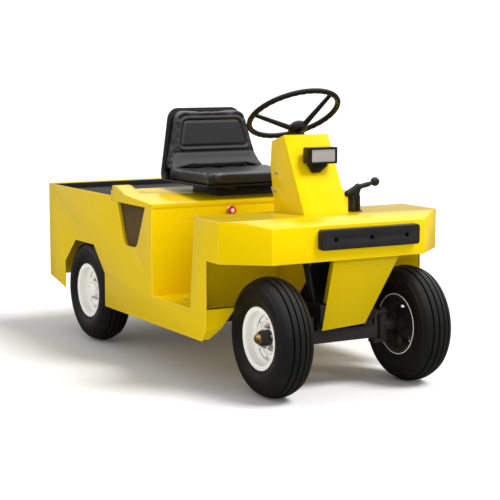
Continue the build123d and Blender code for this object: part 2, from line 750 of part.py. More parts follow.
# Cargo box, hitch and batteries

def cargo_deck():
    """The steel floor of the open box behind the seat."""
    return block((-inner_half(), inner_half()), (BAY_WALL_REAR_Y, BODY_REAR - PANEL - SEAM),
                 (CARGO_DECK_Z - PANEL, CARGO_DECK_Z))


def cargo_mat():
    """The ribbed rubber mat on the cargo deck."""
    length = (BAY_WALL_REAR_Y + 3, BODY_REAR - PANEL - 3)
    mat = block((-inner_half() + 3, inner_half() - 3), length,
                (CARGO_DECK_Z, CARGO_DECK_Z + MAT_THICK - 3))
    ribs = int((2 * inner_half() - 60) / MAT_RIB_STEP)
    for index in range(ribs + 1):
        x = (index - ribs / 2) * MAT_RIB_STEP
        mat += block((x - 7, x + 7), length, (CARGO_DECK_Z, CARGO_DECK_Z + MAT_THICK))
    return mat


def tow_hitch():
    """The clevis at the rear, with an open jaw and a bore for a drawbar pin."""
    mid = (HITCH_LOW_Z + HITCH_HIGH_Z) / 2
    plate = block((-HITCH_PLATE_HALF, HITCH_PLATE_HALF),
                  (BODY_REAR, BODY_REAR + HITCH_PLATE_THICK),
                  (HITCH_LOW_Z - HITCH_PLATE_LIP, HITCH_HIGH_Z + HITCH_PLATE_LIP))
    plate = fillet(plate.edges().filter_by(Axis.Y), 12)
    tip = BODY_REAR + HITCH_REACH - HITCH_NOSE
    jaws = block((-HITCH_NOSE, HITCH_NOSE), (BODY_REAR, tip), (HITCH_LOW_Z, HITCH_HIGH_Z))
    jaws += Pos(0, tip, mid) * Cylinder(HITCH_NOSE, HITCH_HIGH_Z - HITCH_LOW_Z)
    mouth = block((-HITCH_NOSE - 1, HITCH_NOSE + 1), (BODY_REAR + 26, BODY_REAR + HITCH_REACH + 1),
                  (HITCH_LOW_Z + HITCH_JAW, HITCH_HIGH_Z - HITCH_JAW))
    bore = rod((0, tip, HITCH_LOW_Z - 1), (0, tip, HITCH_HIGH_Z + 1), HITCH_BORE)
    return plate + jaws - mouth - bore


def battery_pack():
    """The traction batteries as one block on the floor of the bay."""
    half = inner_half() - BATTERY_TO_SIDE
    return block((-half, half), (RISER_Y + PANEL + BATTERY_TO_RISER, LID_REAR_Y - BATTERY_TO_WALL),
                 (FLOOR_Z, FLOOR_Z + BATTERY_HIGH))


def vent_screens():
    """The slotted screens behind the two openings in the sides of the battery bay."""
    outer = -BODY_HALF + PANEL + NOTCH_FLANGE + SEAM
    screen = block((outer, outer + 2), (NOTCH_TOP_FRONT_Y - 14, NOTCH_TOP_REAR_Y + 14),
                   (NOTCH_BOTTOM_Z - 18, LID_SEAT_Z - 4))
    slots = int((NOTCH_TOP_REAR_Y - NOTCH_TOP_FRONT_Y) / SCREEN_STEP) - 1
    middle = (NOTCH_TOP_FRONT_Y + NOTCH_TOP_REAR_Y) / 2
    for index in range(slots):
        y = middle + (index - (slots - 1) / 2) * SCREEN_STEP
        screen -= block((outer - 1, outer + 3), (y - 4, y + 4),
                        (NOTCH_BOTTOM_Z, LID_SEAT_Z - 22))
    return both_sides(screen)


# Seat deck and its hinge

def lid_top(y):
    """The height of the sloping seat deck at a place along the body."""
    share = (y - RISER_Y) / (LID_REAR_Y - RISER_Y)
    return LID_TOP_FRONT_Z + share * (LID_TOP_REAR_Z - LID_TOP_FRONT_Z)


def hinge_spans(first):
    """Every second length of the hinge, starting with the first or the second."""
    step = 2 * HINGE_HALF / HINGE_KNUCKLES
    spans = [(-HINGE_HALF + index * step, -HINGE_HALF + (index + 1) * step)
             for index in range(HINGE_KNUCKLES)]
    return [(low + SEAM, high - SEAM) for low, high in spans[first::2]]


def lid_catch():
    """The raised catch on the right rear corner of the lid, a folded cap open inside."""
    rear = LID_REAR_Y - 2 * PANEL
    front = rear - CATCH_LENGTH
    top = LID_TOP_REAR_Z + CATCH_HIGH
    outer = [(front, lid_top(front) - 1), (front + CATCH_LENGTH * 0.7, top), (rear, top),
             (rear, lid_top(rear) - 1)]
    inner = [(front + 3 * PANEL, lid_top(front) - 2), (front + CATCH_LENGTH * 0.72, top - PANEL),
             (rear - PANEL, top - PANEL), (rear - PANEL, lid_top(rear) - 2)]
    low_x, high_x = -BODY_HALF + PANEL, -BODY_HALF + PANEL + CATCH_WIDTH
    return side_cut(outer, low_x, high_x) - side_cut(inner, low_x + PANEL, high_x + 1)


def seat_deck():
    """The lid over the batteries: a folded tray with its catch and half of its hinge."""
    low = LID_SEAT_Z + SEAM
    front, rear = RISER_Y - 2, LID_REAR_Y
    outer = side_cut([(front, low), (front, lid_top(front)), (rear, LID_TOP_REAR_Z), (rear, low)],
                     -BODY_HALF, BODY_HALF)
    inner = side_cut([(front + PANEL, low - 1), (front + PANEL, lid_top(front) - PANEL),
                      (rear - PANEL, LID_TOP_REAR_Z - PANEL), (rear - PANEL, low - 1)],
                     -BODY_HALF + PANEL, BODY_HALF - PANEL)
    deck = outer + lid_catch() - inner
    for low_x, high_x in hinge_spans(0):
        deck += rod((low_x, HINGE_Y, HINGE_Z), (high_x, HINGE_Y, HINGE_Z), HINGE_RADIUS)
        deck += block((low_x, high_x), (rear - 1, HINGE_Y), (HINGE_Z - 2, HINGE_Z + 2))
    return deck - rod((-BODY_HALF, HINGE_Y, HINGE_Z), (BODY_HALF, HINGE_Y, HINGE_Z),
                      HINGE_PIN_RADIUS + FIT)


def bay_wall():
    """The wall between batteries and rear axle, with fixed barrels and pin of the hinge."""
    wall = block((-inner_half(), inner_half()), (BAY_WALL_Y, BAY_WALL_REAR_Y - SEAM),
                 (FLOOR_Z - FLOOR_THICK, HINGE_Z - HINGE_RADIUS - 2))
    for low_x, high_x in hinge_spans(1):
        wall += rod((low_x, HINGE_Y, HINGE_Z), (high_x, HINGE_Y, HINGE_Z), HINGE_RADIUS)
        wall += block((low_x, high_x), (HINGE_Y - 2, HINGE_Y + 2),
                      (HINGE_Z - HINGE_RADIUS - 3, HINGE_Z))
    return wall + rod((-HINGE_HALF, HINGE_Y, HINGE_Z), (HINGE_HALF, HINGE_Y, HINGE_Z),
                      HINGE_PIN_RADIUS)


# Seat

def seat_base():
    """The wedge that levels the seat on the sloping deck, with a narrower foot behind it."""
    front = SEAT_FRONT_Y + 2 * PANEL
    step = front + SEAT_BASE_LENGTH
    rear = SEAT_BACK_Y - 30

    def wedge(low_y, high_y, half):
        """A part of the base with its underside on the deck."""
        outline = [(low_y, lid_top(low_y)), (low_y, PAN_LOW_Z), (high_y, PAN_LOW_Z),
                   (high_y, lid_top(high_y))]
        return side_cut(outline, -half, half)

    return wedge(front, step, SEAT_HALF - 6) + wedge(step - 1, rear, SEAT_HALF - 90)


def seat_cushion():
    """The sitting cushion, with its front corners and upper edges rounded."""
    pad = block((-SEAT_HALF, SEAT_HALF), (SEAT_FRONT_Y, SEAT_BACK_Y - 6),
                (SEAT_BOTTOM_Z, SEAT_BOTTOM_Z + CUSHION_THICK))
    pad = fillet(pad.edges().filter_by(Axis.Z).sort_by(Axis.Y)[:2], CUSHION_CORNER)
    return fillet(pad.edges().group_by(Axis.Z)[-1], CUSHION_EDGE)


def back_point(height, depth):
    """A point (Y, Z) of the backrest at a height above its foot, behind its front face."""
    lean = radians(BACK_LEAN)
    return (SEAT_BACK_Y + height * sin(lean) + depth * cos(lean),
            BACK_FOOT_Z + height * cos(lean) - depth * sin(lean))


def back_outline(grow):
    """The front view of the seat, from the pan tapering up to round shoulders."""
    half, shoulder = SEAT_HALF + grow, BACK_SHOULDER + grow
    top = back_point(BACK_HIGH + grow, 0)[1]
    low_z = PAN_LOW_Z - 1
    outline = [(-half, low_z), (-shoulder, top), (shoulder, top), (half, low_z)]
    form = front_cut(outline, SEAT_FRONT_Y, SEAT_BACK_Y + 4 * BACK_THICK)
    top_edges = form.edges().filter_by(Axis.Y).group_by(Axis.Z)[-1]
    return fillet(top_edges, BACK_CORNER + grow)


def seat_back():
    """The padded backrest, rounded at its front edge, with its foot cut clear of the bend."""
    outline = [back_point(-6, 0), back_point(BACK_HIGH + 40, 0),
               back_point(BACK_HIGH + 40, BACK_THICK), back_point(BACK_HEEL, BACK_THICK)]
    pad = side_cut(outline, -BODY_HALF, BODY_HALF) & back_outline(0)
    front = pad.faces().sort_by(Axis.Y)[0]
    return fillet(front.edges().sort_by(Axis.Z)[1:], 16)


def heel_point(z, depth):
    """The point (Y, Z) where a depth behind the front of the backrest meets a level."""
    lean = radians(BACK_LEAN)
    height = (z - BACK_FOOT_Z + depth * sin(lean)) / cos(lean)
    return back_point(height, depth)


def seat_shell():
    """The moulded shell: one sheet bent up from the pan into the back."""
    top = BACK_HIGH + 40
    inner = BACK_THICK + SEAM
    outer = inner + PAN_THICK
    pan_top = PAN_LOW_Z + PAN_THICK
    inner_heel, outer_heel = heel_point(pan_top, inner), heel_point(PAN_LOW_Z, outer)
    outline = [
        (SEAT_FRONT_Y + PAN_EDGE, pan_top), inner_heel, back_point(top, inner),
        back_point(top, outer), outer_heel, (SEAT_FRONT_Y + PAN_EDGE, PAN_LOW_Z),
    ]
    sheet = side_cut(outline, -BODY_HALF, BODY_HALF)
    for heel, radius in ((inner_heel, PAN_BEND), (outer_heel, PAN_BEND + PAN_THICK)):
        bend = sheet.edges().filter_by(Axis.X).sort_by_distance(Vector(0, *heel))[0]
        sheet = fillet(bend, radius)
    return sheet & back_outline(PAN_EDGE)


# Small pieces on the nose and tower

def tower_front(z):
    """How far back the front of the tower is at a height above its break."""
    share = (z - TOWER_BREAK_Z) / (TOWER_TOP_FRONT[1] - TOWER_BREAK_Z)
    return TOWER_FRONT_Y + share * (TOWER_TOP_FRONT[0] - TOWER_FRONT_Y)


def bumper_pad():
    """The rubber bumper bar on the left part of the nose, with three sunk bolt holes."""
    face = NOSE_FRONT_Y - SEAM
    bar = block((PAD_LOW_X, PAD_HIGH_X), (face - PAD_THICK, face), (PAD_LOW_Z, PAD_HIGH_Z))
    bar = fillet(bar.edges().filter_by(Axis.Y), 12)
    bar = fillet(bar.faces().sort_by(Axis.Y)[0].edges(), 5)
    for share in (0.14, 0.5, 0.86):
        x = PAD_LOW_X + share * (PAD_HIGH_X - PAD_LOW_X)
        z = (PAD_LOW_Z + PAD_HIGH_Z) / 2
        bar -= rod((x, face - PAD_THICK - 1, z), (x, face - PAD_THICK + 14, z), 9)
    return bar


def headlamp_housing():
    """The box of the headlamp with its bracket, hollowed in front for its lens."""
    box = block((LAMP_X - LAMP_HALF, LAMP_X + LAMP_HALF),
                (LAMP_FRONT_Y, LAMP_FRONT_Y + LAMP_DEEP), (LAMP_LOW_Z, LAMP_HIGH_Z))
    box = fillet(box.edges().filter_by(Axis.Y), 6)
    box -= block((LAMP_X - LAMP_HALF + LAMP_WALL, LAMP_X + LAMP_HALF - LAMP_WALL),
                 (LAMP_FRONT_Y - 1, LAMP_FRONT_Y + LAMP_WALL + 2),
                 (LAMP_LOW_Z + LAMP_WALL, LAMP_HIGH_Z - LAMP_WALL))
    return box + headlamp_bracket()


def headlamp_lens():
    """The rectangular lens in the headlamp."""
    edge = LAMP_WALL + SEAM
    return block((LAMP_X - LAMP_HALF + edge, LAMP_X + LAMP_HALF - edge),
                 (LAMP_FRONT_Y + 2, LAMP_FRONT_Y + LAMP_WALL + 2),
                 (LAMP_LOW_Z + edge, LAMP_HIGH_Z - edge))


def headlamp_bracket():
    """The bracket that carries the headlamp on the sloping front of the tower."""
    back = LAMP_FRONT_Y + LAMP_DEEP
    shelf = LAMP_LOW_Z
    foot = shelf - 36
    outline = [
        (back, LAMP_HIGH_Z - 12), (tower_front(LAMP_HIGH_Z - 12), LAMP_HIGH_Z - 12),
        (tower_front(foot), foot), (tower_front(foot) - 14, foot),
        (LAMP_FRONT_Y + 16, shelf - 8), (LAMP_FRONT_Y + 16, shelf), (back, shelf),
    ]
    front_view = [(LAMP_X - 44, LAMP_HIGH_Z), (LAMP_X - 44, shelf - 8), (LAMP_X - 34, foot - 1),
                  (LAMP_X - 4, foot - 1), (LAMP_X + 28, shelf - 8), (LAMP_X + 28, LAMP_HIGH_Z)]
    arm = side_cut(outline, LAMP_X - LAMP_HALF, LAMP_X + LAMP_HALF)
    return arm & front_cut(front_view, 0, WHEEL_CENTRE_Y)


def push_button():
    """The round stop button on the riser under the seat."""
    collar = rod((BUTTON_X, RISER_Y, BUTTON_Z), (BUTTON_X, RISER_Y - 6, BUTTON_Z), 17)
    knob = rod((BUTTON_X, RISER_Y - 6, BUTTON_Z), (BUTTON_X, RISER_Y - 20, BUTTON_Z), 13)
    knob = fillet(knob.faces().sort_by(Axis.Y)[0].edges(), 6)
    return collar + knob


def lever_bracket():
    """The two cheeks on the nose deck that carry the parking brake lever."""
    bracket = block((LEVER_X - 22, LEVER_X + 22), (LEVER_Y - 24, LEVER_Y + 24),
                    (NOSE_DECK_Z, NOSE_DECK_Z + 4))
    for x in (LEVER_X - 18, LEVER_X + 10):
        bracket += side_cut([(LEVER_Y - 18, NOSE_DECK_Z), (LEVER_Y + 16, NOSE_DECK_Z),
                             (LEVER_Y + 20, LEVER_PIVOT_Z + 10),
                             (LEVER_Y - 14, LEVER_PIVOT_Z + 14)], x, x + 8)
    return bracket + rod((LEVER_X - 24, LEVER_Y, LEVER_PIVOT_Z),
                         (LEVER_X + 24, LEVER_Y, LEVER_PIVOT_Z), 7)


def brake_lever():
    """The parking brake lever in its bracket, a forged head cranked outwards to its knob."""
    heel = (LEVER_X - 32, LEVER_Y, LEVER_PIVOT_Z + 18)
    head = (LEVER_X + 16, LEVER_Y, LEVER_PIVOT_Z + 42)
    wrist = (LEVER_X + 66, LEVER_Y, LEVER_PIVOT_Z + 52)
    knob = (LEVER_X + 98, LEVER_Y, LEVER_PIVOT_Z + 61)
    lever = lever_bracket() + rod((LEVER_X, LEVER_Y, LEVER_PIVOT_Z - 8), head, 14)
    lever += rod(heel, head, 13) + rod(head, wrist, 10) + rod(wrist, knob, 8)
    for point, radius in ((heel, 13), (head, 15), (wrist, 10), (knob, 18)):
        lever += Pos(*point) * Sphere(radius)
    return lever


def pedal(x):
    """A foot pedal: tread plate, arm and pivot foot on the floor."""
    lean = radians(PEDAL_LEAN)
    top = FLOOR_Z + PEDAL_HIGH
    arm = rod((x, PEDAL_Y, FLOOR_Z + 6), (x, PEDAL_Y + 31, top - 4), 6)
    foot = block((x - 22, x + 22), (PEDAL_Y - 15, PEDAL_Y + 17), (FLOOR_Z, FLOOR_Z + 10))
    plane = Plane(origin=(x, PEDAL_Y + 35, top), x_dir=(1, 0, 0), z_dir=(0, sin(lean), cos(lean)))
    tread = plane * Box(PEDAL_WIDTH, PEDAL_LENGTH, 7)
    return arm + foot + tread


def tail_lamps():
    """Two round lamps on the rear panel."""
    lamps = []
    for side in (-1, 1):
        x = side * (BODY_HALF - 90)
        lamp = rod((x, BODY_REAR, TAIL_LAMP_Z), (x, BODY_REAR + 24, TAIL_LAMP_Z), 44)
        lamps.append(fillet(lamp.faces().sort_by(Axis.Y)[-1].edges(), 9))
    return Compound(lamps)


def front_skirt():
    """The tapered plate under the nose, in front of the steering gear, with a flange."""
    front, back = SKIRT_Y, SKIRT_Y + PANEL
    top = NOSE_BOTTOM_Z + 60
    left_top, right_top = SKIRT_TOP
    left_low, right_low = SKIRT_LOW
    outline = [(left_top, top), (left_low, SKIRT_LOW_Z), (right_low, SKIRT_LOW_Z + 12),
               (right_top, top)]
    share = (SUBFRAME_TOP_Z + 4 - SKIRT_LOW_Z) / (top - SKIRT_LOW_Z)
    flange_foot = left_low + share * (left_top - left_low)
    flange = [(left_top, top), (flange_foot, SUBFRAME_TOP_Z + 4),
              (flange_foot + PANEL, SUBFRAME_TOP_Z + 4), (left_top + PANEL, top)]
    return front_cut(outline, front, back) + front_cut(flange, front, back + 22)


def wheel(name, side, track_half, axle_y, drum_radius):
    """Tyre and rim with hub of one wheel, with the outer side away from the middle."""
    for piece_name, piece in (("tyre", tyre()), ("rim", rim() + hub(drum_radius))):
        turned_out = piece if side > 0 else on_left(piece)
        save(f"{name}_{piece_name}", Pos(side * track_half, axle_y, TYRE_RADIUS) * turned_out)


def build():
    """Make every piece and write it."""
    save_pair("side_panel", side_panel())
    save_pair("knuckle", knuckle())
    single_pieces = {
        "rear_panel": rear_panel(),
        "floor_pan": floor_pan(),
        "riser_panel": riser_panel(),
        "bay_wall": bay_wall(),
        "nose_shell": nose_shell(),
        "front_skirt": front_skirt(),
        "steering_tower": steering_tower(),
        "steering_column": steering_column(),
        "steering_gear": steering_gear(),
        "steering_wheel": steering_wheel(),
        "pitman_arm": pitman_arm(),
        "tie_rod": tie_rod(),
        "chassis_frame": chassis_frame(),
        "bulkheads": both_sides(bulkhead()),
        "rear_springs": both_sides(leaf_spring()),
        "front_axle": front_axle(),
        "rear_axle": rear_axle(),
        "drive_motor": drive_motor(),
        "cargo_deck": cargo_deck(),
        "cargo_mat": cargo_mat(),
        "tow_hitch": tow_hitch(),
        "battery_pack": battery_pack(),
        "vent_screens": vent_screens(),
        "seat_deck": seat_deck(),
        "seat_base": seat_base(),
        "seat_cushion": seat_cushion(),
        "seat_back": seat_back(),
        "seat_shell": seat_shell(),
        "bumper_pad": bumper_pad(),
        "headlamp_housing": headlamp_housing(),
        "headlamp_lens": headlamp_lens(),
        "push_button": push_button(),
        "brake_lever": brake_lever(),
        "foot_pedals": Compound([pedal(BRAKE_PEDAL_X), pedal(ACCELERATOR_X)]),
        "tail_lamps": tail_lamps(),
    }
    for name, piece in single_pieces.items():
        save(name, piece)
    for end, track_half, axle_y, drum_radius in (
        ("front", FRONT_TRACK_HALF, 0, 0),
        ("rear", REAR_TRACK_HALF, WHEELBASE, REAR_DRUM_RADIUS),
    ):
        for hand, side in (("right", -1), ("left", 1)):
            wheel(f"{end}_{hand}", side, track_half, axle_y, drum_radius)


os.makedirs("parts", exist_ok=True)
build()
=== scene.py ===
# %% [markdown]
# # Electric tow tractor
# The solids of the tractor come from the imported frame: every sheet, rail, axle and wheel
# is there at its true size. This script gives them what a camera sees: rounded folds,
# ribbed tyres, pressed wheels, a padded seat, fasteners, paint, rubber and light.
# A piece made here rides on a body of the frame, so that it moves as the real one does.

# %% Load the frame
import json
from math import cos, exp, hypot, pi, radians, sin

import bmesh
import bpy
from mathutils import Euler, Matrix, Vector


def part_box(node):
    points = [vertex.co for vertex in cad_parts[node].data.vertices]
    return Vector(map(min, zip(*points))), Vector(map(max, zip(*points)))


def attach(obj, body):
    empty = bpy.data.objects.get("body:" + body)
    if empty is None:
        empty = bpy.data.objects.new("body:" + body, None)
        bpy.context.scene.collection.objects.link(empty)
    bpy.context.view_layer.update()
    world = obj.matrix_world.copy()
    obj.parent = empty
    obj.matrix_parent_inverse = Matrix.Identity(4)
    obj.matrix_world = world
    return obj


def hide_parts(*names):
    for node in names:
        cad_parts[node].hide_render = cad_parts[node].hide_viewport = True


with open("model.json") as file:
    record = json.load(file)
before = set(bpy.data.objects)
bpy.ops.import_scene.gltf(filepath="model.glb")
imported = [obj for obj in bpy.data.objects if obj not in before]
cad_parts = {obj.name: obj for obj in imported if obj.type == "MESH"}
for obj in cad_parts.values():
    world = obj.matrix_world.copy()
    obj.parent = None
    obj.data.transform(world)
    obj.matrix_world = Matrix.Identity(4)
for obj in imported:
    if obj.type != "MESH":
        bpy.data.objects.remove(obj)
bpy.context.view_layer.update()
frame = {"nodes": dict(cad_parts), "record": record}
nodes = frame["nodes"]
MM = 0.001

# %% [markdown]
# ## Small tools
# Blender's operators act on whatever is selected. So each step first lets go of all
# objects and takes hold of one. Parts of a mesh are chosen in code, by where their
# middles are, as one would by hand with a box select. Lengths are in metres, but the
# points of outlines are in millimetres.

# %% Taking hold of a piece
SMOOTH_ANGLE = 38


def let_go():
    """Leaves edit mode and deselects all objects."""
    if bpy.context.object and bpy.context.object.mode != "OBJECT":
        bpy.ops.object.mode_set(mode="OBJECT")
    bpy.ops.object.select_all(action="DESELECT")


def take(piece):
    """Makes one piece the only selected and the active one."""
    let_go()
    piece.select_set(True)
    bpy.context.view_layer.objects.active = piece


def named(name):
    """Names the piece that an operator has just added."""
    piece = bpy.context.object
    piece.name = name
    piece.data.name = name
    return piece


def settle(piece):
    """Moves a piece's place, turn and size into its mesh."""
    take(piece)
    bpy.ops.object.transform_apply(location=True, rotation=True, scale=True)
    return piece


def middle(part):
    """The middle of a vertex, edge or face of a bmesh."""
    if isinstance(part, bmesh.types.BMVert):
        return part.co
    if isinstance(part, bmesh.types.BMFace):
        return part.calc_center_median()
    return (part.verts[0].co + part.verts[1].co) / 2


def choose(piece, kind, test):
    """Opens a piece in edit mode and selects the parts of one kind that pass a test."""
    take(piece)
    bpy.ops.object.mode_set(mode="EDIT")
    bpy.ops.mesh.select_mode(type=kind)
    bpy.ops.mesh.select_all(action="DESELECT")
    mesh = bmesh.from_edit_mesh(piece.data)
    mesh.normal_update()
    parts = {"VERT": mesh.verts, "EDGE": mesh.edges, "FACE": mesh.faces}[kind]
    for part in parts:
        if test(part, middle(part)):
            part.select_set(True)
    mesh.select_flush_mode()
    bmesh.update_edit_mesh(piece.data)


def everything(part, place):
    """A test that every part passes."""
    return True


def smooth(piece, angle):
    """Smooth shading across all edges but those sharper than an angle."""
    take(piece)
    bpy.ops.object.shade_smooth_by_angle(angle=radians(angle))
    return piece


def clean(piece, angle=40):
    """Merges doubled points, turns the faces outwards and smooths all but sharp edges."""
    choose(piece, "VERT", everything)
    bpy.ops.mesh.remove_doubles(threshold=0.00002)
    bpy.ops.mesh.normals_make_consistent(inside=False)
    return smooth(piece, angle)


def finish_with(piece, kind, **settings):
    """Adds a modifier with the given settings and applies it."""
    take(piece)
    modifier = piece.modifiers.new(kind.lower(), kind)
    for key, value in settings.items():
        setattr(modifier, key, value)
    bpy.ops.object.modifier_apply(modifier=modifier.name)
    return piece


def rounded(piece, width, segments=2, angle=30):
    """Rounds every edge sharper than an angle."""
    finish_with(piece, "BEVEL", width=width, segments=segments, limit_method="ANGLE",
                angle_limit=radians(angle), miter_outer="MITER_ARC")
    return clean(piece, angle=SMOOTH_ANGLE)


# %% Adding, copying and joining pieces
def bar(name, low, high):
    """A square bar between two corners."""
    low, high = Vector(low), Vector(high)
    let_go()
    bpy.ops.mesh.primitive_cube_add(size=1, location=(low + high) / 2)
    bpy.context.object.scale = high - low
    return settle(named(name))


def round_bar(name, start, end, radius, sides=32, end_radius=None):
    """A round or tapered bar between two points."""
    start, end = Vector(start), Vector(end)
    let_go()
    bpy.ops.mesh.primitive_cone_add(
        vertices=sides, radius1=radius, radius2=radius if end_radius is None else end_radius,
        depth=(end - start).length, location=(start + end) / 2,
        rotation=(end - start).to_track_quat("Z", "Y").to_euler())
    return settle(named(name))


def copy_of(master, name, matrix):
    """A copy of a model with its own mesh, placed by a matrix."""
    piece = bpy.data.objects.new(name, master.data.copy())
    bpy.context.scene.collection.objects.link(piece)
    piece.data.name = name
    piece.data.transform(matrix)
    if matrix.determinant() < 0:
        piece.data.flip_normals()
    return piece


def joined(name, pieces):
    """Several pieces as one."""
    let_go()
    for piece in pieces:
        piece.select_set(True)
    bpy.context.view_layer.objects.active = pieces[0]
    if len(pieces) > 1:
        bpy.ops.object.join()
    return named(name)


def facing(place, direction, turn):
    """The matrix that puts a model at a place, its +Z along a direction, turned about it."""
    aim = Vector(direction).to_track_quat("Z", "Y").to_matrix().to_4x4()
    return Matrix.Translation(place) @ aim @ Matrix.Rotation(turn, 4, "Z")


def side_word(side):
    """The word for a side of the tractor, as its driver sees it: +X is the left."""
    return "left" if side > 0 else "right"


def limited(value):
    """A value held between 0 and 1."""
    return max(0.0, min(1.0, value))


# %% Outlines, drawn and spun
def drawn(name, points, closed):
    """A line of points in the XZ plane, drawn by extruding one vertex from point to point."""
    first = Vector((points[0][0], 0, points[0][1])) * MM
    let_go()
    bpy.ops.mesh.primitive_plane_add(size=0.01, location=first)
    line = settle(named(name))
    choose(line, "VERT", everything)
    bpy.ops.mesh.merge(type="CENTER")
    for (x0, z0), (x1, z1) in zip(points, points[1:]):
        step = Vector((x1 - x0, 0, z1 - z0)) * MM
        bpy.ops.mesh.extrude_region_move(TRANSFORM_OT_translate={"value": step})
    if closed:
        ends = [Vector((x, 0, z)) * MM for x, z in (points[0], points[-1])]
        choose(line, "VERT", lambda part, place: min((place - e).length for e in ends) < 1e-6)
        bpy.ops.mesh.edge_face_add()
    return line


def spun(name, points, steps=72, closed=True):
    """A round shape: an outline of (distance along the axle, radius) turned about X."""
    shape = drawn(name, points, closed)
    choose(shape, "VERT", everything)
    bpy.ops.mesh.spin(steps=steps, angle=2 * pi, center=(0, 0, 0), axis=(1, 0, 0))
    return clean(shape, angle=32)


# %% [markdown]
# ## Finishes
# The tractor has few finishes: yellow gloss paint, white wheel paint, satin black on the
# running gear, rubber, grained vinyl, moulded plastic and plain zinc-plated steel. What
# they share, such as the slight ripple of sprayed paint or a film of dust, is one group
# of nodes each, which every material then uses with its own values.

# %% Shared effects
def new_group(name, inputs, outputs):
    """An empty node group with named number inputs and named outputs."""
    group = bpy.data.node_groups.new(name, "ShaderNodeTree")
    for socket, value in inputs.items():
        made = group.interface.new_socket(socket, in_out="INPUT", socket_type="NodeSocketFloat")
        made.default_value = value
    for socket, kind in outputs.items():
        group.interface.new_socket(socket, in_out="OUTPUT", socket_type=kind)
    return group, group.nodes.new("NodeGroupInput"), group.nodes.new("NodeGroupOutput")


def noise_in(group, scale, detail=3.0):
    """A noise texture on object coordinates inside a group."""
    place = group.nodes.new("ShaderNodeTexCoord")
    noise = group.nodes.new("ShaderNodeTexNoise")
    noise.inputs["Detail"].default_value = detail
    group.links.new(place.outputs["Object"], noise.inputs["Vector"])
    if isinstance(scale, (int, float)):
        noise.inputs["Scale"].default_value = scale
    else:
        group.links.new(scale, noise.inputs["Scale"])
    return noise


def surface_ripple():
    """Uneven relief: sprayed paint, cast iron or grain, by its scale and depth."""
    group, start, end = new_group(
        "surface ripple", {"Scale": 60.0, "Depth": 0.0005}, {"Normal": "NodeSocketVector"})
    noise = noise_in(group, start.outputs["Scale"])
    bump = group.nodes.new("ShaderNodeBump")
    group.links.new(noise.outputs["Fac"], bump.inputs["Height"])
    group.links.new(start.outputs["Depth"], bump.inputs["Distance"])
    group.links.new(bump.outputs["Normal"], end.inputs["Normal"])
    return group


def uneven_gloss():
    """Roughness that drifts between a low and a high value in soft patches."""
    group, start, end = new_group(
        "uneven gloss", {"Low": 0.2, "High": 0.3, "Scale": 6.0},
        {"Roughness": "NodeSocketFloat"})
    noise = noise_in(group, start.outputs["Scale"])
    spread = group.nodes.new("ShaderNodeMapRange")
    group.links.new(noise.outputs["Fac"], spread.inputs["Value"])
    group.links.new(start.outputs["Low"], spread.inputs["To Min"])
    group.links.new(start.outputs["High"], spread.inputs["To Max"])
    group.links.new(spread.outputs["Result"], end.inputs["Roughness"])
    return group


def road_dust():
    """How much dust lies on a surface: most near the ground, in patches."""
    group, start, end = new_group(
        "road dust", {"Amount": 0.3, "Height": 0.35}, {"Mask": "NodeSocketFloat"})
    place = group.nodes.new("ShaderNodeTexCoord")
    split = group.nodes.new("ShaderNodeSeparateXYZ")
    fade = group.nodes.new("ShaderNodeMapRange")
    fade.inputs["To Min"].default_value = 1.0
    fade.inputs["To Max"].default_value = 0.0
    noise = noise_in(group, 9.0, detail=5.0)
    patch = group.nodes.new("ShaderNodeMath")
    patch.operation = "MULTIPLY"
    amount = group.nodes.new("ShaderNodeMath")
    amount.operation = "MULTIPLY"
    group.links.new(place.outputs["Object"], split.inputs["Vector"])
    group.links.new(split.outputs["Z"], fade.inputs["Value"])
    group.links.new(start.outputs["Height"], fade.inputs["From Max"])
    group.links.new(fade.outputs["Result"], patch.inputs[0])
    group.links.new(noise.outputs["Fac"], patch.inputs[1])
    group.links.new(patch.outputs["Value"], amount.inputs[0])
    group.links.new(start.outputs["Amount"], amount.inputs[1])
    group.links.new(amount.outputs["Value"], end.inputs["Mask"])
    return group


RIPPLE = surface_ripple()
GLOSS = uneven_gloss()
DUST = road_dust()
DUST_COLOUR = (0.34, 0.30, 0.24, 1)


# %% [markdown]
# A finish is a Principled shader in which colour, gloss and relief each come from nodes.
# The colour drifts a little between two near tones, since no real coat is even, and dust
# is laid over it. Numbers that are the same all over are typed into the shader itself.

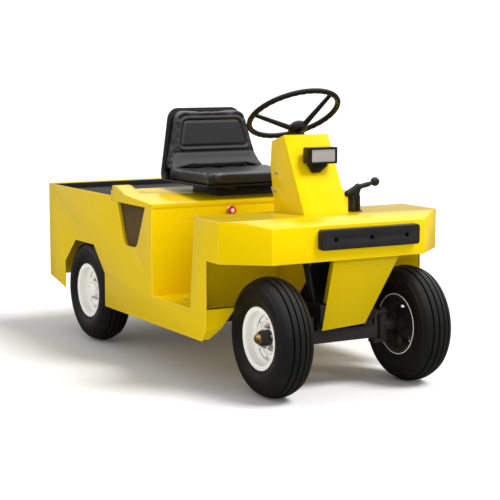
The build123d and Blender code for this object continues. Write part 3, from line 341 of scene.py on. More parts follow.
# %% One recipe for all finishes
def finish_of(name, tone, other_tone, gloss, ripple, dust=0.0, tone_scale=3.0, **fixed):
    """A material: two near tones, a range of roughness, a relief and a share of dust."""
    material = bpy.data.materials.new(name)
    material.use_nodes = True
    tree = material.node_tree
    shader = tree.nodes["Principled BSDF"]
    for socket, value in fixed.items():
        shader.inputs[socket.replace("_", " ")].default_value = value
    place = tree.nodes.new("ShaderNodeTexCoord")
    noise = tree.nodes.new("ShaderNodeTexNoise")
    noise.inputs["Scale"].default_value = tone_scale
    noise.inputs["Detail"].default_value = 4.0
    tones = tree.nodes.new("ShaderNodeMix")
    tones.data_type = "RGBA"
    tones.inputs["A"].default_value = (*tone, 1)
    tones.inputs["B"].default_value = (*other_tone, 1)
    tree.links.new(place.outputs["Object"], noise.inputs["Vector"])
    tree.links.new(noise.outputs["Fac"], tones.inputs["Factor"])
    dusty = tree.nodes.new("ShaderNodeMix")
    dusty.data_type = "RGBA"
    dusty.inputs["B"].default_value = DUST_COLOUR
    film = tree.nodes.new("ShaderNodeGroup")
    film.node_tree = DUST
    film.inputs["Amount"].default_value = dust
    tree.links.new(film.outputs["Mask"], dusty.inputs["Factor"])
    tree.links.new(tones.outputs["Result"], dusty.inputs["A"])
    tree.links.new(dusty.outputs["Result"], shader.inputs["Base Color"])
    sheen = tree.nodes.new("ShaderNodeGroup")
    sheen.node_tree = GLOSS
    sheen.inputs["Low"].default_value, sheen.inputs["High"].default_value = gloss
    tree.links.new(sheen.outputs["Roughness"], shader.inputs["Roughness"])
    relief = tree.nodes.new("ShaderNodeGroup")
    relief.node_tree = RIPPLE
    relief.inputs["Scale"].default_value, relief.inputs["Depth"].default_value = ripple
    tree.links.new(relief.outputs["Normal"], shader.inputs["Normal"])
    return material


YELLOW = finish_of("yellow gloss paint", (0.79, 0.555, 0.001), (0.76, 0.53, 0.001),
                   gloss=(0.17, 0.24), ripple=(180, 0.0001), Specular_IOR_Level=0.5,
                   Specular_Tint=(1.0, 0.72, 0.02, 1))
# A lighter yellow for the rounded folds: a painted highlight along the edges.
YELLOW_EDGE_HIGHLIGHT = finish_of("yellow with painted highlights on rounded edges", (0.88, 0.66, 0.05),
                        (0.86, 0.63, 0.03), gloss=(0.16, 0.22), ripple=(180, 0.0001),
                        Specular_IOR_Level=0.6, Specular_Tint=(1.0, 0.85, 0.3, 1))
# A darker, rougher yellow for the skirt under the nose: its darkness is painted shade.
YELLOW_SHADED = finish_of("yellow paint darkened as painted shade", (0.50, 0.355, 0.002), (0.44, 0.31, 0.002),
                        gloss=(0.3, 0.42), ripple=(180, 0.0002),
                        Specular_Tint=(1.0, 0.72, 0.02, 1))
# Near-black brown for the inner side of the wheels: painted shade.
WHEEL_INSIDE_SHADE = finish_of("painted shade inside the wheels", (0.030, 0.022, 0.014),
                   (0.016, 0.012, 0.008), gloss=(0.4, 0.6), ripple=(200, 0.0004), dust=0.05)
WHEEL_WHITE = finish_of("off-white wheel paint", (0.97, 0.95, 0.90), (0.93, 0.91, 0.85),
                        gloss=(0.28, 0.42), ripple=(150, 0.0002), dust=0.05, tone_scale=14)
FRAME_BLACK = finish_of("satin black chassis paint", (0.006, 0.006, 0.006),
                        (0.011, 0.010, 0.010), gloss=(0.38, 0.55), ripple=(120, 0.0006),
                        dust=0.10, tone_scale=10, Specular_IOR_Level=0.3)
CAST_BLACK = finish_of("painted cast iron", (0.007, 0.0065, 0.006), (0.016, 0.014, 0.012),
                       gloss=(0.45, 0.7), ripple=(260, 0.0012), dust=0.14, tone_scale=16,
                       Specular_IOR_Level=0.3)
TYRE = finish_of("tyre rubber", (0.004, 0.004, 0.0045), (0.009, 0.0085, 0.008),
                 gloss=(0.36, 0.50), ripple=(320, 0.0004), dust=0.03, tone_scale=20,
                 Specular_IOR_Level=0.2)
RUBBER = finish_of("bumper rubber", (0.010, 0.010, 0.011), (0.017, 0.0165, 0.017),
                   gloss=(0.42, 0.55), ripple=(240, 0.0004), tone_scale=12,
                   Specular_IOR_Level=0.25)
PLASTIC = finish_of("moulded black plastic", (0.004, 0.004, 0.0045), (0.007, 0.007, 0.0075),
                    gloss=(0.24, 0.38), ripple=(380, 0.0002), tone_scale=12,
                    Specular_IOR_Level=0.2)
ZINC = finish_of("zinc-plated steel", (0.62, 0.60, 0.55), (0.46, 0.44, 0.40),
                 gloss=(0.25, 0.42), ripple=(300, 0.0003), tone_scale=40, Metallic=1.0)
BRASS = finish_of("yellow zinc dust cap", (0.42, 0.30, 0.11), (0.27, 0.18, 0.07),
                  gloss=(0.25, 0.45), ripple=(200, 0.0003), tone_scale=40, Metallic=1.0)
# Near-black for the bolt heads deep in the bumper's holes: painted shade.
HOLE_SHADE = finish_of("painted shade inside holes", (0.002, 0.002, 0.002), (0.003, 0.003, 0.003),
                      gloss=(0.7, 0.9), ripple=(200, 0.0002), Specular_IOR_Level=0.1)
RED = finish_of("red button plastic", (0.62, 0.02, 0.03), (0.52, 0.015, 0.02),
                gloss=(0.12, 0.2), ripple=(100, 0.0001), Coat_Weight=0.5)
# A pale cap for the middle of the stop button: a painted highlight.
PALE_HIGHLIGHT = finish_of("pale painted highlight", (0.86, 0.78, 0.66), (0.80, 0.72, 0.60),
                 gloss=(0.2, 0.3), ripple=(100, 0.0001), tone_scale=30)
BROWN_STEEL = finish_of("dull brown screen steel", (0.155, 0.095, 0.012),
                        (0.095, 0.055, 0.010), gloss=(0.4, 0.6), ripple=(300, 0.0004),
                        tone_scale=30)
CASE_GREY = finish_of("battery case plastic", (0.030, 0.031, 0.034), (0.042, 0.042, 0.046),
                      gloss=(0.35, 0.5), ripple=(300, 0.0003), dust=0.1)
print("finishes:", len(bpy.data.materials))


# %% [markdown]
# The vinyl of the seat has a leather-like grain. Two sizes of Voronoi cells give it: the
# pebbles themselves, and finer pores between them. Both go to the height of a bump.

# %% Vinyl
GRAIN = ((420, 1.0), (1100, 0.4))
GRAIN_DEEP = 0.0003


def vinyl():
    """Grained black vinyl with a soft sheen."""
    material = finish_of("grained black vinyl", (0.003, 0.003, 0.0035), (0.006, 0.006, 0.0065),
                         gloss=(0.28, 0.38), ripple=(30, 0.0004), tone_scale=8,
                         Specular_IOR_Level=0.5)
    tree = material.node_tree
    shader = tree.nodes["Principled BSDF"]
    place = tree.nodes.new("ShaderNodeTexCoord")
    height = None
    for scale, share in GRAIN:
        cells = tree.nodes.new("ShaderNodeTexVoronoi")
        cells.inputs["Scale"].default_value = scale
        tree.links.new(place.outputs["Object"], cells.inputs["Vector"])
        part = tree.nodes.new("ShaderNodeMath")
        part.operation = "MULTIPLY_ADD"
        part.inputs[1].default_value = share
        part.inputs[2].default_value = 0.0
        tree.links.new(cells.outputs["Distance"], part.inputs[0])
        if height is not None:
            tree.links.new(height, part.inputs[2])
        height = part.outputs["Value"]
    bump = tree.nodes.new("ShaderNodeBump")
    bump.inputs["Distance"].default_value = GRAIN_DEEP
    bump.inputs["Strength"].default_value = 0.6
    tree.links.new(height, bump.inputs["Height"])
    tree.links.new(bump.outputs["Normal"], shader.inputs["Normal"])
    return material


VINYL = vinyl()


# %% Glass
def lamp_glass():
    """Pressed clear glass with a milky tone."""
    material = finish_of("pressed lamp glass", (0.52, 0.49, 0.47), (0.44, 0.42, 0.40),
                         gloss=(0.05, 0.12), ripple=(90, 0.0003), tone_scale=25)
    shader = material.node_tree.nodes["Principled BSDF"]
    shader.inputs["Transmission Weight"].default_value = 0.35
    shader.inputs["IOR"].default_value = 1.45
    return material


LAMP_GLASS = lamp_glass()


# %% [markdown]
# ## Giving a piece its finish and its place
# Each finished piece is told its material and the body it rides on. If it stands for a
# solid of the frame, that solid is hidden.

# %% Dressing
def wear(piece, material, *more):
    """Gives a piece its material, or several where its faces differ."""
    piece.data.materials.clear()
    for finish in (material, *more):
        piece.data.materials.append(finish)
    return piece


def fit(piece, body, slot, *replaced):
    """Makes a piece ride on a body and hides the solids it stands for. The slot is not used."""
    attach(piece, body)
    if replaced:
        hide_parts(*replaced)
    return piece


BODY = "body_and_frame"
LID = "seat_lid"


# %% [markdown]
# ## Sheet metal and castings
# A folded sheet never has a knife edge: each fold has a radius of about the sheet's
# thickness, and it catches a thin line of light. A copy of each solid therefore gets its
# edges rounded with a Bevel modifier. On the yellow sheets the rounded strips get a
# slightly lighter yellow: a painted highlight along each fold.

# %% Round the edges of the solids
FLAT_ANGLE = 0.8
FOLD_ANGLE = 28


def solid_copy(node, name):
    """A copy of a solid of the frame, open in edit mode, with doubled points merged."""
    piece = bpy.data.objects.new(name, nodes[node].data.copy())
    bpy.context.scene.collection.objects.link(piece)
    piece.data.name = piece.name
    piece.data.materials.clear()
    choose(piece, "VERT", everything)
    bpy.ops.mesh.customdata_custom_splitnormals_clear()
    bpy.ops.mesh.remove_doubles(threshold=0.00001)
    return piece


def rounded_copy(node, width, edge_highlight=False):
    """A copy of a solid of the frame with its flat faces joined and its edges rounded."""
    piece = solid_copy(node, f"{node}_dressed")
    bpy.ops.mesh.dissolve_limited(angle_limit=radians(FLAT_ANGLE))
    bpy.ops.mesh.normals_make_consistent(inside=False)
    let_go()
    piece.data.materials.append(YELLOW)
    # The second material, a lighter yellow on the rounded strips, is a painted highlight.
    if edge_highlight:
        piece.data.materials.append(YELLOW_EDGE_HIGHLIGHT)
    finish_with(piece, "BEVEL", width=width, segments=2, limit_method="ANGLE",
                angle_limit=radians(FOLD_ANGLE), material=1 if edge_highlight else -1)
    return smooth(piece, SMOOTH_ANGLE)


# %% Yellow sheets
YELLOW_SHEETS = {
    "nose_shell": 0.0032, "steering_tower": 0.0030, "side_panel_left": 0.0015,
    "side_panel_right": 0.0015, "rear_panel": 0.0015, "floor_pan": 0.0015,
    "riser_panel": 0.0012, "bay_wall": 0.0008, "front_skirt": 0.0014, "bulkheads": 0.0012,
    "cargo_deck": 0.0012,
}
TOWER_FOOT_Z = 0.60
REARWARD = 0.3

dressed = {}
for node, width in YELLOW_SHEETS.items():
    sheet = rounded_copy(node, width, edge_highlight=True)
    dressed[node] = fit(sheet, BODY, "body_paint", node)


def shade_tower_foot(tower):
    """Below the nose the tower is painted black as shade, but for the faces that look to the
    rear.
    """
    tower.data.materials.append(FRAME_BLACK)
    for face in tower.data.polygons:
        if face.center.z < TOWER_FOOT_Z and face.normal.y < REARWARD:
            face.material_index = len(tower.data.materials) - 1


shade_tower_foot(dressed["steering_tower"])
# The skirt gets the darker yellow as painted shade from the nose above it.
wear(dressed["front_skirt"], YELLOW_SHADED, YELLOW_EDGE_HIGHLIGHT)
lid_sheet = rounded_copy("seat_deck", 0.0015, edge_highlight=True)
dressed["seat_deck"] = fit(lid_sheet, LID, "body_paint", "seat_deck")
print("yellow sheets:", len(dressed))

# %% Running gear and black parts
RUNNING_GEAR = (
    ("chassis_frame", BODY, 0.003, FRAME_BLACK),
    ("rear_springs", BODY, 0.0012, FRAME_BLACK),
    ("front_axle", BODY, 0.0025, CAST_BLACK),
    ("rear_axle", BODY, 0.002, CAST_BLACK),
    ("drive_motor", BODY, 0.004, FRAME_BLACK),
    ("steering_column", BODY, 0.001, FRAME_BLACK),
    ("steering_gear", BODY, 0.003, CAST_BLACK),
    ("tow_hitch", BODY, 0.002, FRAME_BLACK),
    ("foot_pedals", BODY, 0.0015, FRAME_BLACK),
    ("knuckle_left", "knuckle_left_body", 0.002, CAST_BLACK),
    ("knuckle_right", "knuckle_right_body", 0.002, CAST_BLACK),
    ("pitman_arm", "pitman_arm_body", 0.002, CAST_BLACK),
    ("tie_rod", "tie_rod_body", 0.0015, FRAME_BLACK),
    ("seat_shell", LID, 0.002, PLASTIC),
    ("bumper_pad", BODY, 0.0012, RUBBER),
    ("brake_lever", BODY, 0.0015, FRAME_BLACK),
    ("headlamp_housing", BODY, 0.0015, PLASTIC),
)
slots = {part["node"]: part["material_slot"] for part in frame["record"]["subparts"]}
for node, body, width, material in RUNNING_GEAR:
    casting = wear(rounded_copy(node, width), material)
    dressed[node] = fit(casting, body, slots[node], node)
print("dressed solids:", len(dressed))


# %% [markdown]
# ## Tyres
# The tyres are ribbed: straight grooves run round the tread, which keep a steered wheel
# on its line. The cross-section is drawn once as a line of points, from bead to
# bead over the crown, with the grooves in it. Spinning that line about the axle makes
# the tyre. A spin gives true circles, which a subdivided cylinder would not.

# %% Draw and spin the tyre
TYRE_RADIUS = 230
TREAD_HALF = 52
CROWN_DROP = 16
GROOVES = (-34, -12, 12, 34)
GROOVE_HALF = 3.2
GROOVE_DEEP = 8
GROOVE_SLOPE = 1
LAND_POINT = 7
WALL = (
    (57, 209), (62, 200), (65.5, 191), (66.8, 190), (67.6, 184), (69.4, 176),
    (69.9, 166), (69.2, 156), (67, 146), (63.5, 137), (61, 133), (60.8, 129),
    (58.6, 128), (57.5, 122), (54, 121.5), (51, 118), (51, 108),
)


def tread_radius(x):
    """The radius of the tread at a distance from the middle plane."""
    return TYRE_RADIUS - CROWN_DROP * (x / TREAD_HALF) ** 2


def tread_points():
    """The crown of the tyre with its grooves, from the inner to the outer shoulder."""
    points = [(-TREAD_HALF, tread_radius(TREAD_HALF))]
    for groove in GROOVES:
        low, high = groove - GROOVE_HALF, groove + GROOVE_HALF
        floor = tread_radius(groove) - GROOVE_DEEP
        points += [(x, tread_radius(x)) for x in (low - LAND_POINT, low)]
        points += [(low + GROOVE_SLOPE, floor), (high - GROOVE_SLOPE, floor)]
        points += [(x, tread_radius(x)) for x in (high, high + LAND_POINT)]
    points.append((TREAD_HALF, tread_radius(TREAD_HALF)))
    return sorted(set(points))


def tyre_outline():
    """The whole closed outline: the inner sidewall, the tread and the outer sidewall."""
    inner = [(-x, r) for x, r in reversed(WALL)]
    return inner + tread_points() + list(WALL)


tyre_model = wear(spun("tyre_model", tyre_outline(), steps=96), TYRE)
print("tyre:", len(tyre_model.data.polygons), "faces")

# %% [markdown]
# ## Wheels
# Each wheel is pressed from steel: a barrel with a drop centre holds the tyre, and a
# dished disc welded into it carries the nuts. The disc has a ring of round holes for air
# and water. They are cut with a Boolean, since a cutter leaves clean round edges in a
# spun surface. In front a black hub stands out of the disc, under a plated dust cap. The
# hub at the rear is shorter, and painted with the wheel. The inner side is dark brown:
# painted shade.

# %% Barrel and disc
BARREL = (
    (-58, 121), (-54, 121.5), (-52, 118), (-52, 108), (-34, 108), (-26, 92), (14, 92),
    (22, 108), (52, 108), (52, 118), (54, 121.5), (58, 121), (59, 118.5), (57, 117),
    (55, 117), (54, 104), (24, 104), (16, 88), (-28, 88), (-36, 104), (-54, 104),
    (-57, 117), (-59, 118.5),
)
DISC = (
    (4, 89), (4, 92), (10, 91), (17, 82), (21, 77), (21, 68), (18, 63), (13, 59),
    (13, 31), (9, 31), (9, 60), (14, 66), (17, 70), (17, 75), (13, 80), (7, 88),
)
VENT_HOLES = 8
VENT_CIRCLE = 76
VENT_RADIUS = 8
CUTTER_LONG = 40
SHADE_END = 0.006
SHADE_RADIUS = 0.1175
DISC_RADIUS = 0.09
INWARD = -0.3


def vent_cutter():
    """Round bars along the axle, evenly spaced on a circle, to cut the vent holes."""
    bars = []
    for index in range(VENT_HOLES):
        angle = index * 2 * pi / VENT_HOLES
        y, z = VENT_CIRCLE * cos(angle), VENT_CIRCLE * sin(angle)
        bars.append(round_bar(f"vent_cutter_{index}", Vector((0, y, z)) * MM,
                              Vector((CUTTER_LONG, y, z)) * MM, VENT_RADIUS * MM))
    return joined("vent_cutter", bars)


def pressed_wheel():
    """Barrel and disc, with the vent holes cut through."""
    barrel = rounded(spun("barrel", BARREL, steps=96), 0.0008)
    disc = spun("disc", DISC, steps=96)
    cutter = vent_cutter()
    finish_with(disc, "BOOLEAN", operation="DIFFERENCE", object=cutter, solver="EXACT")
    bpy.data.objects.remove(cutter)
    disc = rounded(clean(disc, angle=30), 0.0007, angle=40)
    return wear(joined("wheel_model", [barrel, disc]), WHEEL_WHITE, WHEEL_INSIDE_SHADE)


def shade_inside(wheel):
    """Gives the inner side of a wheel its second material, a dark brown as painted shade."""
    for face in wheel.data.polygons:
        radius = hypot(face.center.y, face.center.z)
        disc_back = face.normal.x < INWARD and radius < DISC_RADIUS
        if radius < SHADE_RADIUS and (face.center.x < SHADE_END or disc_back):
            face.material_index = 1
    return wheel


wheel_model = shade_inside(pressed_wheel())

# %% Hub, drum, nuts and cap
FLANGE = ((-48, 14.6), (-48, 25), (-14, 26), (-14, 61), (8.6, 61), (8.6, 30.5))
SPINDLE_BORE = ((38.6, 0), (38.6, 14.6))
FRONT_HUB = FLANGE + ((44, 30.5), (53, 26), (55.5, 20), (55.5, 0)) + SPINDLE_BORE
REAR_HUB = FLANGE + ((36, 30.5), (42, 25), (43.5, 20), (43.5, 0)) + SPINDLE_BORE
DRUM = ((-50, 77), (-50, 84), (-46, 86), (-42, 84), (-12, 81), (-9.5, 78), (-9.5, 40),
        (-14.5, 40), (-14.5, 75))
CAP = ((54, 20.5), (61, 20), (67, 17), (71, 11), (72, 6), (72.2, 0), (70, 0), (54, 18))
NUTS = 5
NUT_CIRCLE = 45
NUT_SEAT = 13
CROWN_INSET = 0.32
WASHER_HIGH, WASHER_WIDE = 0.22, 1.22


def hex_nut(name, size, height, stud):
    """A nut on its washer, with rounded corners and the end of its stud, along +Z."""
    let_go()
    bpy.ops.mesh.primitive_cylinder_add(vertices=6, radius=size, depth=height,
                                        location=(0, 0, height / 2))
    nut = settle(named(name))
    choose(nut, "FACE", lambda part, place: part.normal.z > 0.9)
    bpy.ops.mesh.inset(thickness=size * CROWN_INSET)
    bpy.ops.mesh.extrude_region_move(TRANSFORM_OT_translate={"value": (0, 0, stud)})
    let_go()
    rounded(nut, size * 0.09)
    washer = round_bar(f"{name}_washer", (0, 0, 0), (0, 0, height * WASHER_HIGH),
                       size * WASHER_WIDE, 24)
    return joined(name, [nut, rounded(washer, size * 0.06)])


wheel_nut = wear(hex_nut("wheel_nut", size=0.0095, height=0.009, stud=0.007), ZINC)
bolt_head = wear(hex_nut("bolt_head", size=0.0065, height=0.0045, stud=0.0004), ZINC)


def nut_ring():
    """The five wheel nuts on the disc."""
    nuts = []
    for index in range(NUTS):
        angle = pi / 2 + index * 2 * pi / NUTS
        place = Vector((NUT_SEAT, NUT_CIRCLE * cos(angle), NUT_CIRCLE * sin(angle))) * MM
        nuts.append(copy_of(wheel_nut, f"nut_{index}", facing(place, (1, 0, 0), angle)))
    return joined("nuts_model", nuts)


def turned(name, outline, material, steps=48):
    """A turned part with its edges rounded, in its material."""
    return wear(rounded(spun(name, outline, steps=steps), 0.001), material)


hub_model = turned("hub_model", FRONT_HUB, CAST_BLACK)
rear_hub_model = turned("rear_hub_model", REAR_HUB, WHEEL_WHITE)
drum_model = turned("drum_model", DRUM, CAST_BLACK, steps=64)
cap_model = wear(spun("cap_model", CAP, steps=48), BRASS)
nuts_model = nut_ring()
END_MODELS = {
    "front": {"nuts": nuts_model, "hub": hub_model, "dust_cap": cap_model},
    "rear": {"nuts": nuts_model, "hub": rear_hub_model, "brake_drum": drum_model},
}
print("front hub:", len(hub_model.data.polygons), "faces")

# %% Put the four wheels together
FRONT_Y, REAR_Y = -0.815, 0.549
AXLE_Z = 0.230
TRACK_HALVES = {"front": (0.313, FRONT_Y), "rear": (0.419, REAR_Y)}


def fit_wheel(end, side):
    """Copies tyre, wheel, hub and nuts to one corner, outer side away from the middle."""
    track_half, y = TRACK_HALVES[end]
    place = Matrix.Translation((side * track_half, y, AXLE_Z)) @ Matrix.Scale(side, 4, (1, 0, 0))
    name = f"{end}_{side_word(side)}"
    body = f"wheel_{name}"
    tyre = copy_of(tyre_model, f"{name}_ribbed_tyre", place)
    fit(tyre, body, "tyre_rubber", f"{name}_tyre")
    wheel = copy_of(wheel_model, f"{name}_pressed_wheel", place)
    fit(wheel, body, "wheel_paint", f"{name}_rim")
    for word, model in END_MODELS[end].items():
        fit(copy_of(model, f"{name}_{word}", place), body, "frame_paint")


for end in TRACK_HALVES:
    for side in (1, -1):
        fit_wheel(end, side)
for model in (tyre_model, wheel_model, hub_model, rear_hub_model, drum_model, cap_model,
              nuts_model):
    bpy.data.objects.remove(model)
print("wheels: 4, nuts:", 4 * NUTS)


# %% [markdown]
# ## Steering wheel
# The ring is a torus, but a plain torus would look like a toy. Here the rim's underside
# has finger grips, the three dished spokes taper towards the ring, and the boss is a
# dome over a collar. It is modelled flat at the origin and then tilted onto its shaft.

# %% Ring, spokes and boss
COLUMN_TILT = radians(31)
RING_CENTRE = (0, FRONT_Y + 0.363, 1.050)
WHEEL_PLACE = Matrix.Translation(RING_CENTRE) @ Matrix.Rotation(-COLUMN_TILT, 4, "X")
RING = 0.184
GRIP = 0.0112
GRIP_WAVE = 0.0016
GRIP_COUNT = 36
DISH = 0.072
SPOKE_ANGLES = (60, 180, 300)
SPOKE_ROOT = 0.022
SPOKE_RADII = (0.0115, 0.0080)
SHAFT_RADIUS = 0.0098
SHAFT_END = -0.19
BOSS = ((-82, 0), (-82, 30), (-78, 38), (-68, 41), (-58, 40), (-49, 34), (-42, 23), (-39, 10),
        (-38.5, 0))


def steering_ring():
    """The rim of the wheel, with shallow finger grips on its underside."""
    let_go()
    bpy.ops.mesh.primitive_torus_add(major_segments=144, minor_segments=20,
                                     major_radius=RING, minor_radius=GRIP)
    ring = named("steering_ring")
    for vertex in ring.data.vertices:
        around = vertex.co.xy.angle_signed(Vector((1, 0)))
        under = max(0.0, -vertex.co.z / GRIP)
        vertex.co.z += GRIP_WAVE * under * (0.5 + 0.5 * cos(around * GRIP_COUNT))
    return ring


def spoke(angle):
    """One tapered spoke from the boss up to the ring."""
    out = Vector((cos(angle), sin(angle), 0))
    root = out * SPOKE_ROOT + Vector((0, 0, -DISH + 0.004))
    tip = out * (RING - 0.004) + Vector((0, 0, -0.001))
    thick, thin = SPOKE_RADII
    return clean(round_bar("spoke", root, tip, thick, 20, end_radius=thin))


def steering_wheel():
    """Ring, spokes and boss, joined and tilted onto the column."""
    boss = spun("boss", BOSS, steps=48, closed=False)
    boss.data.transform(Matrix.Rotation(-pi / 2, 4, "Y"))
    parts = [steering_ring(), clean(boss)]
    parts += [spoke(radians(angle)) for angle in SPOKE_ANGLES]
    parts.append(round_bar("shaft", (0, 0, SHAFT_END), (0, 0, 0.002 - DISH), SHAFT_RADIUS))
    wheel = joined("steering_wheel_rim", parts)
    wheel.data.transform(WHEEL_PLACE)
    return wear(smooth(wheel, 40), PLASTIC)


fit(steering_wheel(), "steering_wheel_body", "wheel_plastic", "steering_wheel")
print("spokes:", len(SPOKE_ANGLES))


# %% [markdown]
# ## The seat
# The seat is foam under vinyl on a steel pan. Foam under a tight cover swells between
# its edges, so a block with rounded edges would look wrong. Cloth simulation with a
# little pressure inside swells the shape as the foam does. A few rounds of Smooth take
# out its puckers. Then the moulded lines of the backrest are pressed in: a ridge round
# the rim, a sunk panel, and a foot that sweeps forward to meet the cushion.

# %% Swelling a pad
VOXEL = 0.005
PAD_PRESSURE = 4.0
PAD_DRAWN_IN = 0.004
PAD_SWELL = 0.012
SWELL_FRAMES = 20


def even_mesh(piece):
    """Remeshes a piece into even small faces."""
    piece.data.remesh_voxel_size = VOXEL
    take(piece)
    bpy.ops.object.voxel_remesh()
    return piece


def swell(piece):
    """Swells a pad with cloth pressure, moving no point further than PAD_SWELL."""
    before = [vertex.co.copy() for vertex in piece.data.vertices]
    take(piece)
    cloth = piece.modifiers.new("cloth", "CLOTH")
    cloth.settings.use_pressure = True
    cloth.settings.uniform_pressure_force = PAD_PRESSURE
    cloth.settings.effector_weights.gravity = 0.0
    cloth.settings.quality = 5
    for number in range(1, SWELL_FRAMES + 1):
        bpy.context.scene.frame_set(number)
    bpy.ops.object.modifier_apply(modifier=cloth.name)
    bpy.context.scene.frame_set(1)
    for vertex, start in zip(piece.data.vertices, before):
        moved = vertex.co - start
        if moved.length > PAD_SWELL:
            vertex.co = start + moved.normalized() * PAD_SWELL
    return piece


def pad_from(node):
    """A pad made from a solid of the frame: drawn in a little, remeshed and swollen."""
    piece = solid_copy(node, f"{node}_padded")
    bpy.ops.mesh.select_all(action="SELECT")
    bpy.ops.transform.shrink_fatten(value=-PAD_DRAWN_IN)
    let_go()
    even_mesh(piece)
    swell(piece)
    finish_with(piece, "SMOOTH", factor=0.5, iterations=14)
    return piece


# %% [markdown]
# A moulded line is a smooth bump or groove that follows an edge. It is given by three
# values: its height, its distance from that edge and its width. The backrest's points
# are measured along its own slope: u goes across, and v goes up from its foot.

# %% The backrest's own lines
BACK_LEAN = radians(12)
BACK_FOOT = Vector((0, 0.207, 0.780))
BACK_UP = Vector((0, sin(BACK_LEAN), cos(BACK_LEAN)))
BACK_OUT = Vector((0, -cos(BACK_LEAN), sin(BACK_LEAN)))
BACK_TOP = 0.284
BACK_HALF_LOW, BACK_HALF_TOP = 0.238, 0.184
BACK_CORNER = 0.050
PANEL_LOW, PANEL_HIGH = 0.112, 0.232
PANEL_HALF_LOW, PANEL_HALF_HIGH = 0.170, 0.146
PANEL_CORNER = 0.016
INSIDE_FADE = 0.05
BACK_RIDGE = (0.008, 0.013, 0.014)
BACK_SEAM = (-0.0025, 0.034, 0.014)
PANEL_RIDGE = (0.0030, -0.012, 0.010)
PANEL_SEAM = (-0.0060, 0.0, 0.0075)
FOOT_SEAM = (-0.0030, 0.086, 0.012)
SWEEP_HIGH, SWEEP_OUT = 0.088, 0.034
BACK_FRONT, BACK_FRONT_FADE = -0.030, 0.022
BACK_LOWERED, BACK_NARROWED = 0.039, 0.065


def bell(distance, width):
    """A smooth bump: 1 at no distance, nearly 0 beyond the width."""
    return exp(-2 * (distance / width) ** 2)


def line_height(line, distance):
    """How high a moulded line stands at a distance from the edge that it follows."""
    height, place, width = line
    return height * bell(distance - place, width)


def inside_rounded(across, up, corner):
    """How deep a point is inside a form with a round corner, from two edge distances."""
    if across < corner and up < corner:
        return corner - hypot(corner - across, corner - up)
    return min(across, up)


def back_rim(u, v):
    """How far a point of the backrest is from its edge."""
    share = v / BACK_TOP
    half = BACK_HALF_LOW + share * (BACK_HALF_TOP - BACK_HALF_LOW)
    return inside_rounded(half - abs(u), BACK_TOP - v, BACK_CORNER)


def panel_depth(u, v):
    """How deep a point of the backrest lies inside the sunk panel, negative outside it."""
    share = (v - PANEL_LOW) / (PANEL_HIGH - PANEL_LOW)
    half = PANEL_HALF_LOW + share * (PANEL_HALF_HIGH - PANEL_HALF_LOW)
    return inside_rounded(half - abs(u), min(v - PANEL_LOW, PANEL_HIGH - v), PANEL_CORNER)


def back_relief(u, v):
    """How far the front of the backrest stands out from its plain pad."""
    rim = back_rim(u, v)
    panel = panel_depth(u, v)
    inside = limited(rim / INSIDE_FADE)
    sweep = limited(1.0 - v / SWEEP_HIGH)
    relief = line_height(BACK_RIDGE, rim) + line_height(BACK_SEAM, rim)
    relief += line_height(PANEL_RIDGE, panel) + line_height(PANEL_SEAM, panel)
    return relief + SWEEP_OUT * sweep ** 2 + inside * line_height(FOOT_SEAM, v)


def draw_in_back(piece):
    """Lowers and narrows the upper part of the back by a few per cent."""
    for vertex in piece.data.vertices:
        up = (vertex.co - BACK_FOOT).dot(BACK_UP)
        share = limited(up / BACK_TOP)
        vertex.co -= BACK_UP * BACK_TOP * share * BACK_LOWERED
        vertex.co.x *= 1 - BACK_NARROWED * share
    return piece


def press_back(piece):
    """Presses the moulded lines into the front of the backrest."""
    for vertex in piece.data.vertices:
        offset = vertex.co - BACK_FOOT
        front = limited((offset.dot(BACK_OUT) - BACK_FRONT) / BACK_FRONT_FADE)
        vertex.co += BACK_OUT * back_relief(offset.x, offset.dot(BACK_UP)) * front
    return piece


# %% The cushion's own lines
CUSHION_LOW, CUSHION_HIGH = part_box("seat_cushion")
CUSHION_CORNER = 0.030
CUSHION_RIDGE = (0.005, 0.012, 0.014)
CUSHION_SEAM = (-0.003, 0.034, 0.014)
CUSHION_SUNK = 0.006
CUSHION_TOP, CUSHION_TOP_FADE = -0.022, 0.016
FOLDS = (0.0016, -0.07, 0.10)


def cushion_relief(x, y):
    """How far the top of the cushion stands above its plain pad, soft folds included."""
    rim = inside_rounded(CUSHION_HIGH.x - abs(x), y - CUSHION_LOW.y, CUSHION_CORNER)
    inside = limited((rim - CUSHION_CORNER) / INSIDE_FADE)
    relief = line_height(CUSHION_RIDGE, rim) + line_height(CUSHION_SEAM, rim)
    wave = sin(62 * x + 4 * sin(21 * y)) + 0.6 * sin(37 * x - 9 * y)
    folds = wave * line_height(FOLDS, y - CUSHION_HIGH.y)
    return relief + inside * (folds - CUSHION_SUNK)


def press_cushion(piece):
    """Presses the rim, the hollow and the seams into the top of the cushion."""
    for vertex in piece.data.vertices:
        upper = limited((vertex.co.z - CUSHION_HIGH.z - CUSHION_TOP) / CUSHION_TOP_FADE)
        vertex.co.z += cushion_relief(vertex.co.x, vertex.co.y) * upper
    return piece


# %% Make the two pads
def finished_pad(piece, press, name):
    """Presses the lines into a pad, subdivides it and covers it in vinyl."""
    press(piece)
    finish_with(piece, "SUBSURF", levels=1, render_levels=1)
    take(piece)
    bpy.ops.object.shade_smooth()
    piece.name = name
    wear(piece, VINYL)
    fit(piece, LID, "seat_vinyl")
    return piece


backrest = finished_pad(pad_from("seat_back"), press_back, "padded_backrest")
draw_in_back(backrest)
draw_in_back(dressed["seat_shell"])
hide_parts("seat_back")
cushion = finished_pad(pad_from("seat_cushion"), press_cushion, "padded_cushion")
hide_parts("seat_cushion")
print("pads:", len(backrest.data.polygons) + len(cushion.data.polygons), "faces")

# %% The box under the seat
PLINTH_HALF = 0.140
PLINTH_SET_BACK = 0.125
PLINTH_TAPER = (0.94, 0.97, 1)
RAIL_HIGH = 0.012
RAIL_HALF = 0.014
RAIL_X = 0.11
RAIL_SET_BACK = 0.03


